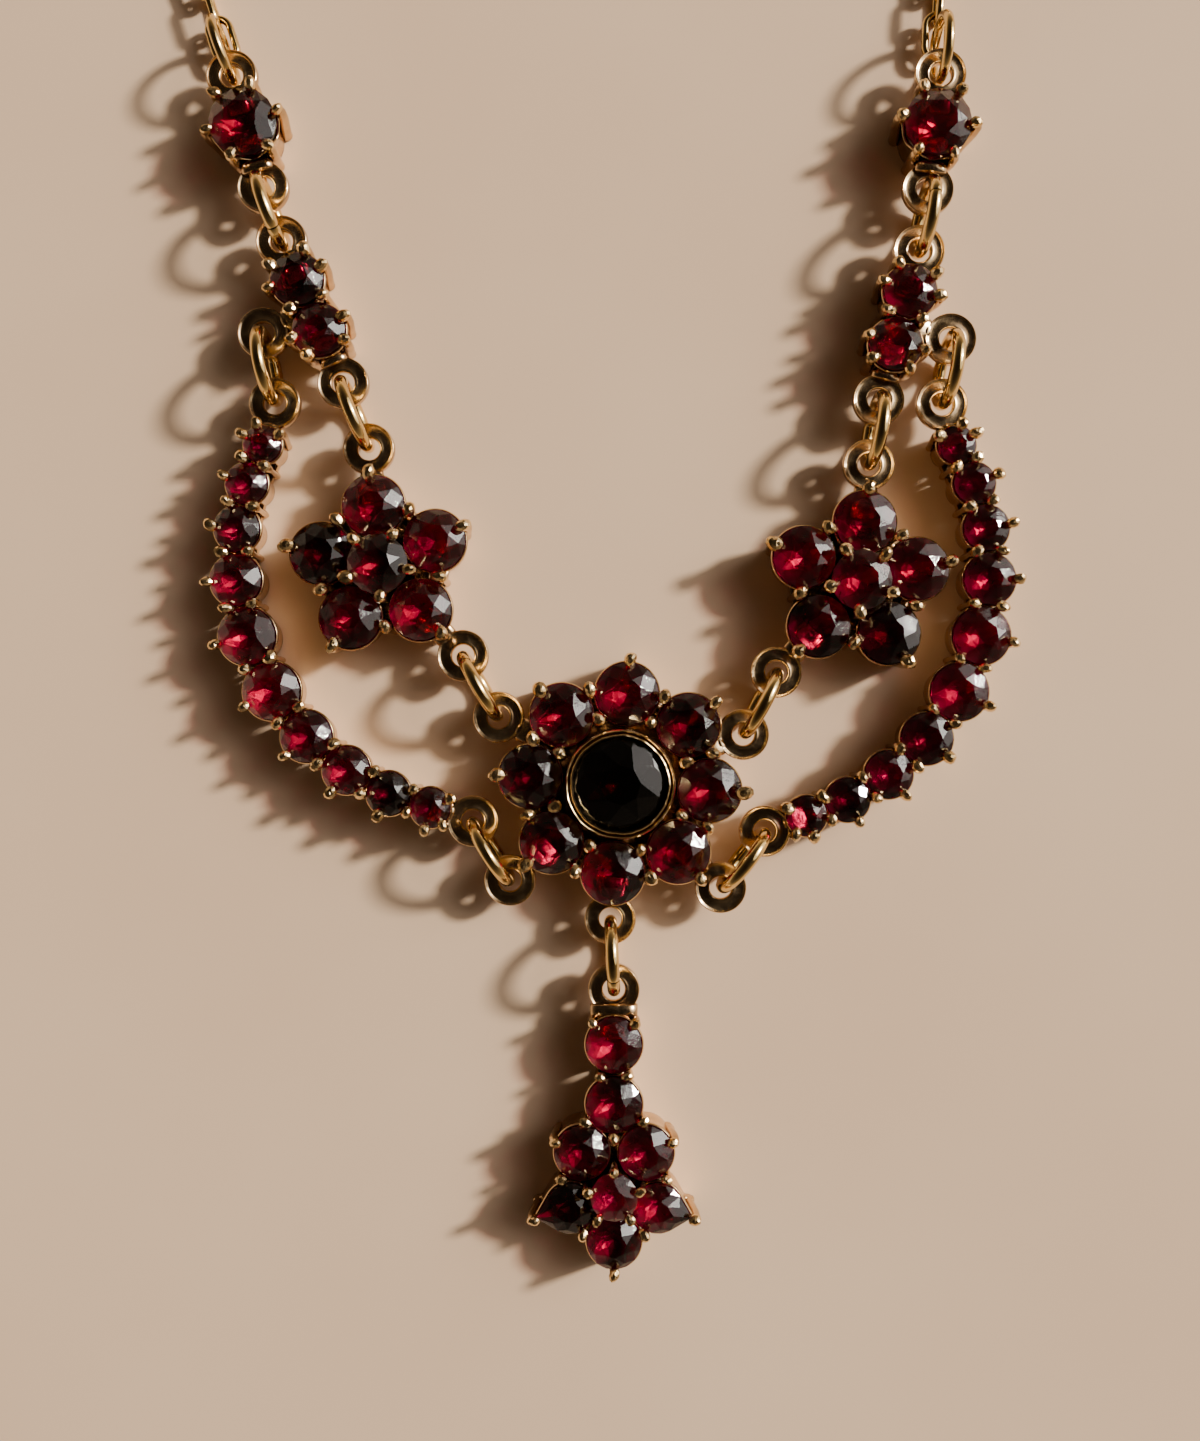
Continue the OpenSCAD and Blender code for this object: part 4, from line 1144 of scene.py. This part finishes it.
def dress_side(rng, looks, i):
    """All that hangs at one side: the settings with their stones, and half of the chain."""
    side = SIDES[i]
    at = placed(SINGLE_AT[i], i)
    # The left single stone's deep back is painted shade
    tone = ("deep", "garnet")[i]
    metal(f"{side}_single_setting", single_setting(rng), at, looks["setting"])
    one_stone(rng, f"{side}_single_stone", at, 0, 0, SINGLE_D, GIRDLE_Z, looks[tone])

    at = placed(DOUBLE_AT[i], i)
    # The left double's second stone gets a bright back, a painted glow
    tones = (("garnet", "bright"), ("garnet", "garnet"))[i]
    metal(f"{side}_double_setting", double_setting(rng), at, looks["setting"])
    for k, tone in zip((1, 2), tones):
        y = (1.5 - k) * DOUBLE_PITCH
        one_stone(rng, f"{side}_double_stone_{k}", at, 0, y, DOUBLE_D, GIRDLE_Z, looks[tone])

    at = placed(FLOWER_AT[i], i)
    metal(f"{side}_flower_setting", flower_setting(rng), at, looks["setting"])
    one_stone(rng, f"{side}_flower_heart_stone", at, 0, 0, FLOWER_HEART_D, HEART_Z,
              looks["garnet"], rise=RISE[i])
    s = Shape()
    for k, back in enumerate(FLOWER_BACKS[i]):
        x, y = polar(FLOWER_CIRCLE, 90 + 72 * k)
        set_gem(s, rng, x, y, FLOWER_D, GIRDLE_Z, rise=RISE[i], back=back)
    stones(f"{side}_flower_petals", s, at, looks["mixed"])

    at = placed(ARC_AT[i], i)
    metal(f"{side}_arc_setting", arc_setting(rng), at, looks["setting"])
    s = Shape()
    for v, d, back in zip(ARC_S, ARC_D, ARC_BACKS[i]):
        x, y = arc_point(v)
        set_gem(s, rng, x, y, d, ARC_Z, rise=RISE[i], back=back)
    stones(f"{side}_arc_stones", s, at, looks["mixed"])

    s = Shape()
    upright = at_point(0, 0, END_RING_R + END_RING_WIRE + REST)
    closed_ring(s, END_RING_R, END_RING_WIRE, upright, slit=200)
    metal(f"{side}_end_ring", s, placed(on_chain(i, END_RING_AT)), looks["wire"])
    metal(f"{side}_chain", chain(i, rng), Matrix.Scale(MM, 4), looks["wire"])


def dress_rings(rng, looks):
    """The jump rings, each upright between the two holes that it passes through."""
    for name, (a, b) in ring_spans().items():
        turn = math.degrees(math.atan2(b[1] - a[1], b[0] - a[0]))
        s = Shape()
        upright = at_point(0, 0, RING_R + RING_WIRE + REST)
        closed_ring(s, RING_R, RING_WIRE, upright, slit=rng.uniform(30, 330), seg=18, steps=72)
        metal(name, s, placed(((a[0] + b[0]) / 2, (a[1] + b[1]) / 2, turn)), looks["wire"])


def main():
    rng = random.Random(SEED)
    looks = make_looks()
    dress_centre(rng, looks)
    dress_drop(rng, looks)
    for i in range(len(SIDES)):
        dress_side(rng, looks, i)
    dress_rings(rng, looks)
    metal("clasp", clasp(), placed(on_chain(0, EYE_AT + REACH)), looks["body"])
    stage()
    sky()
    for row in LAMPS:
        lamp(*row)
    camera()


main()
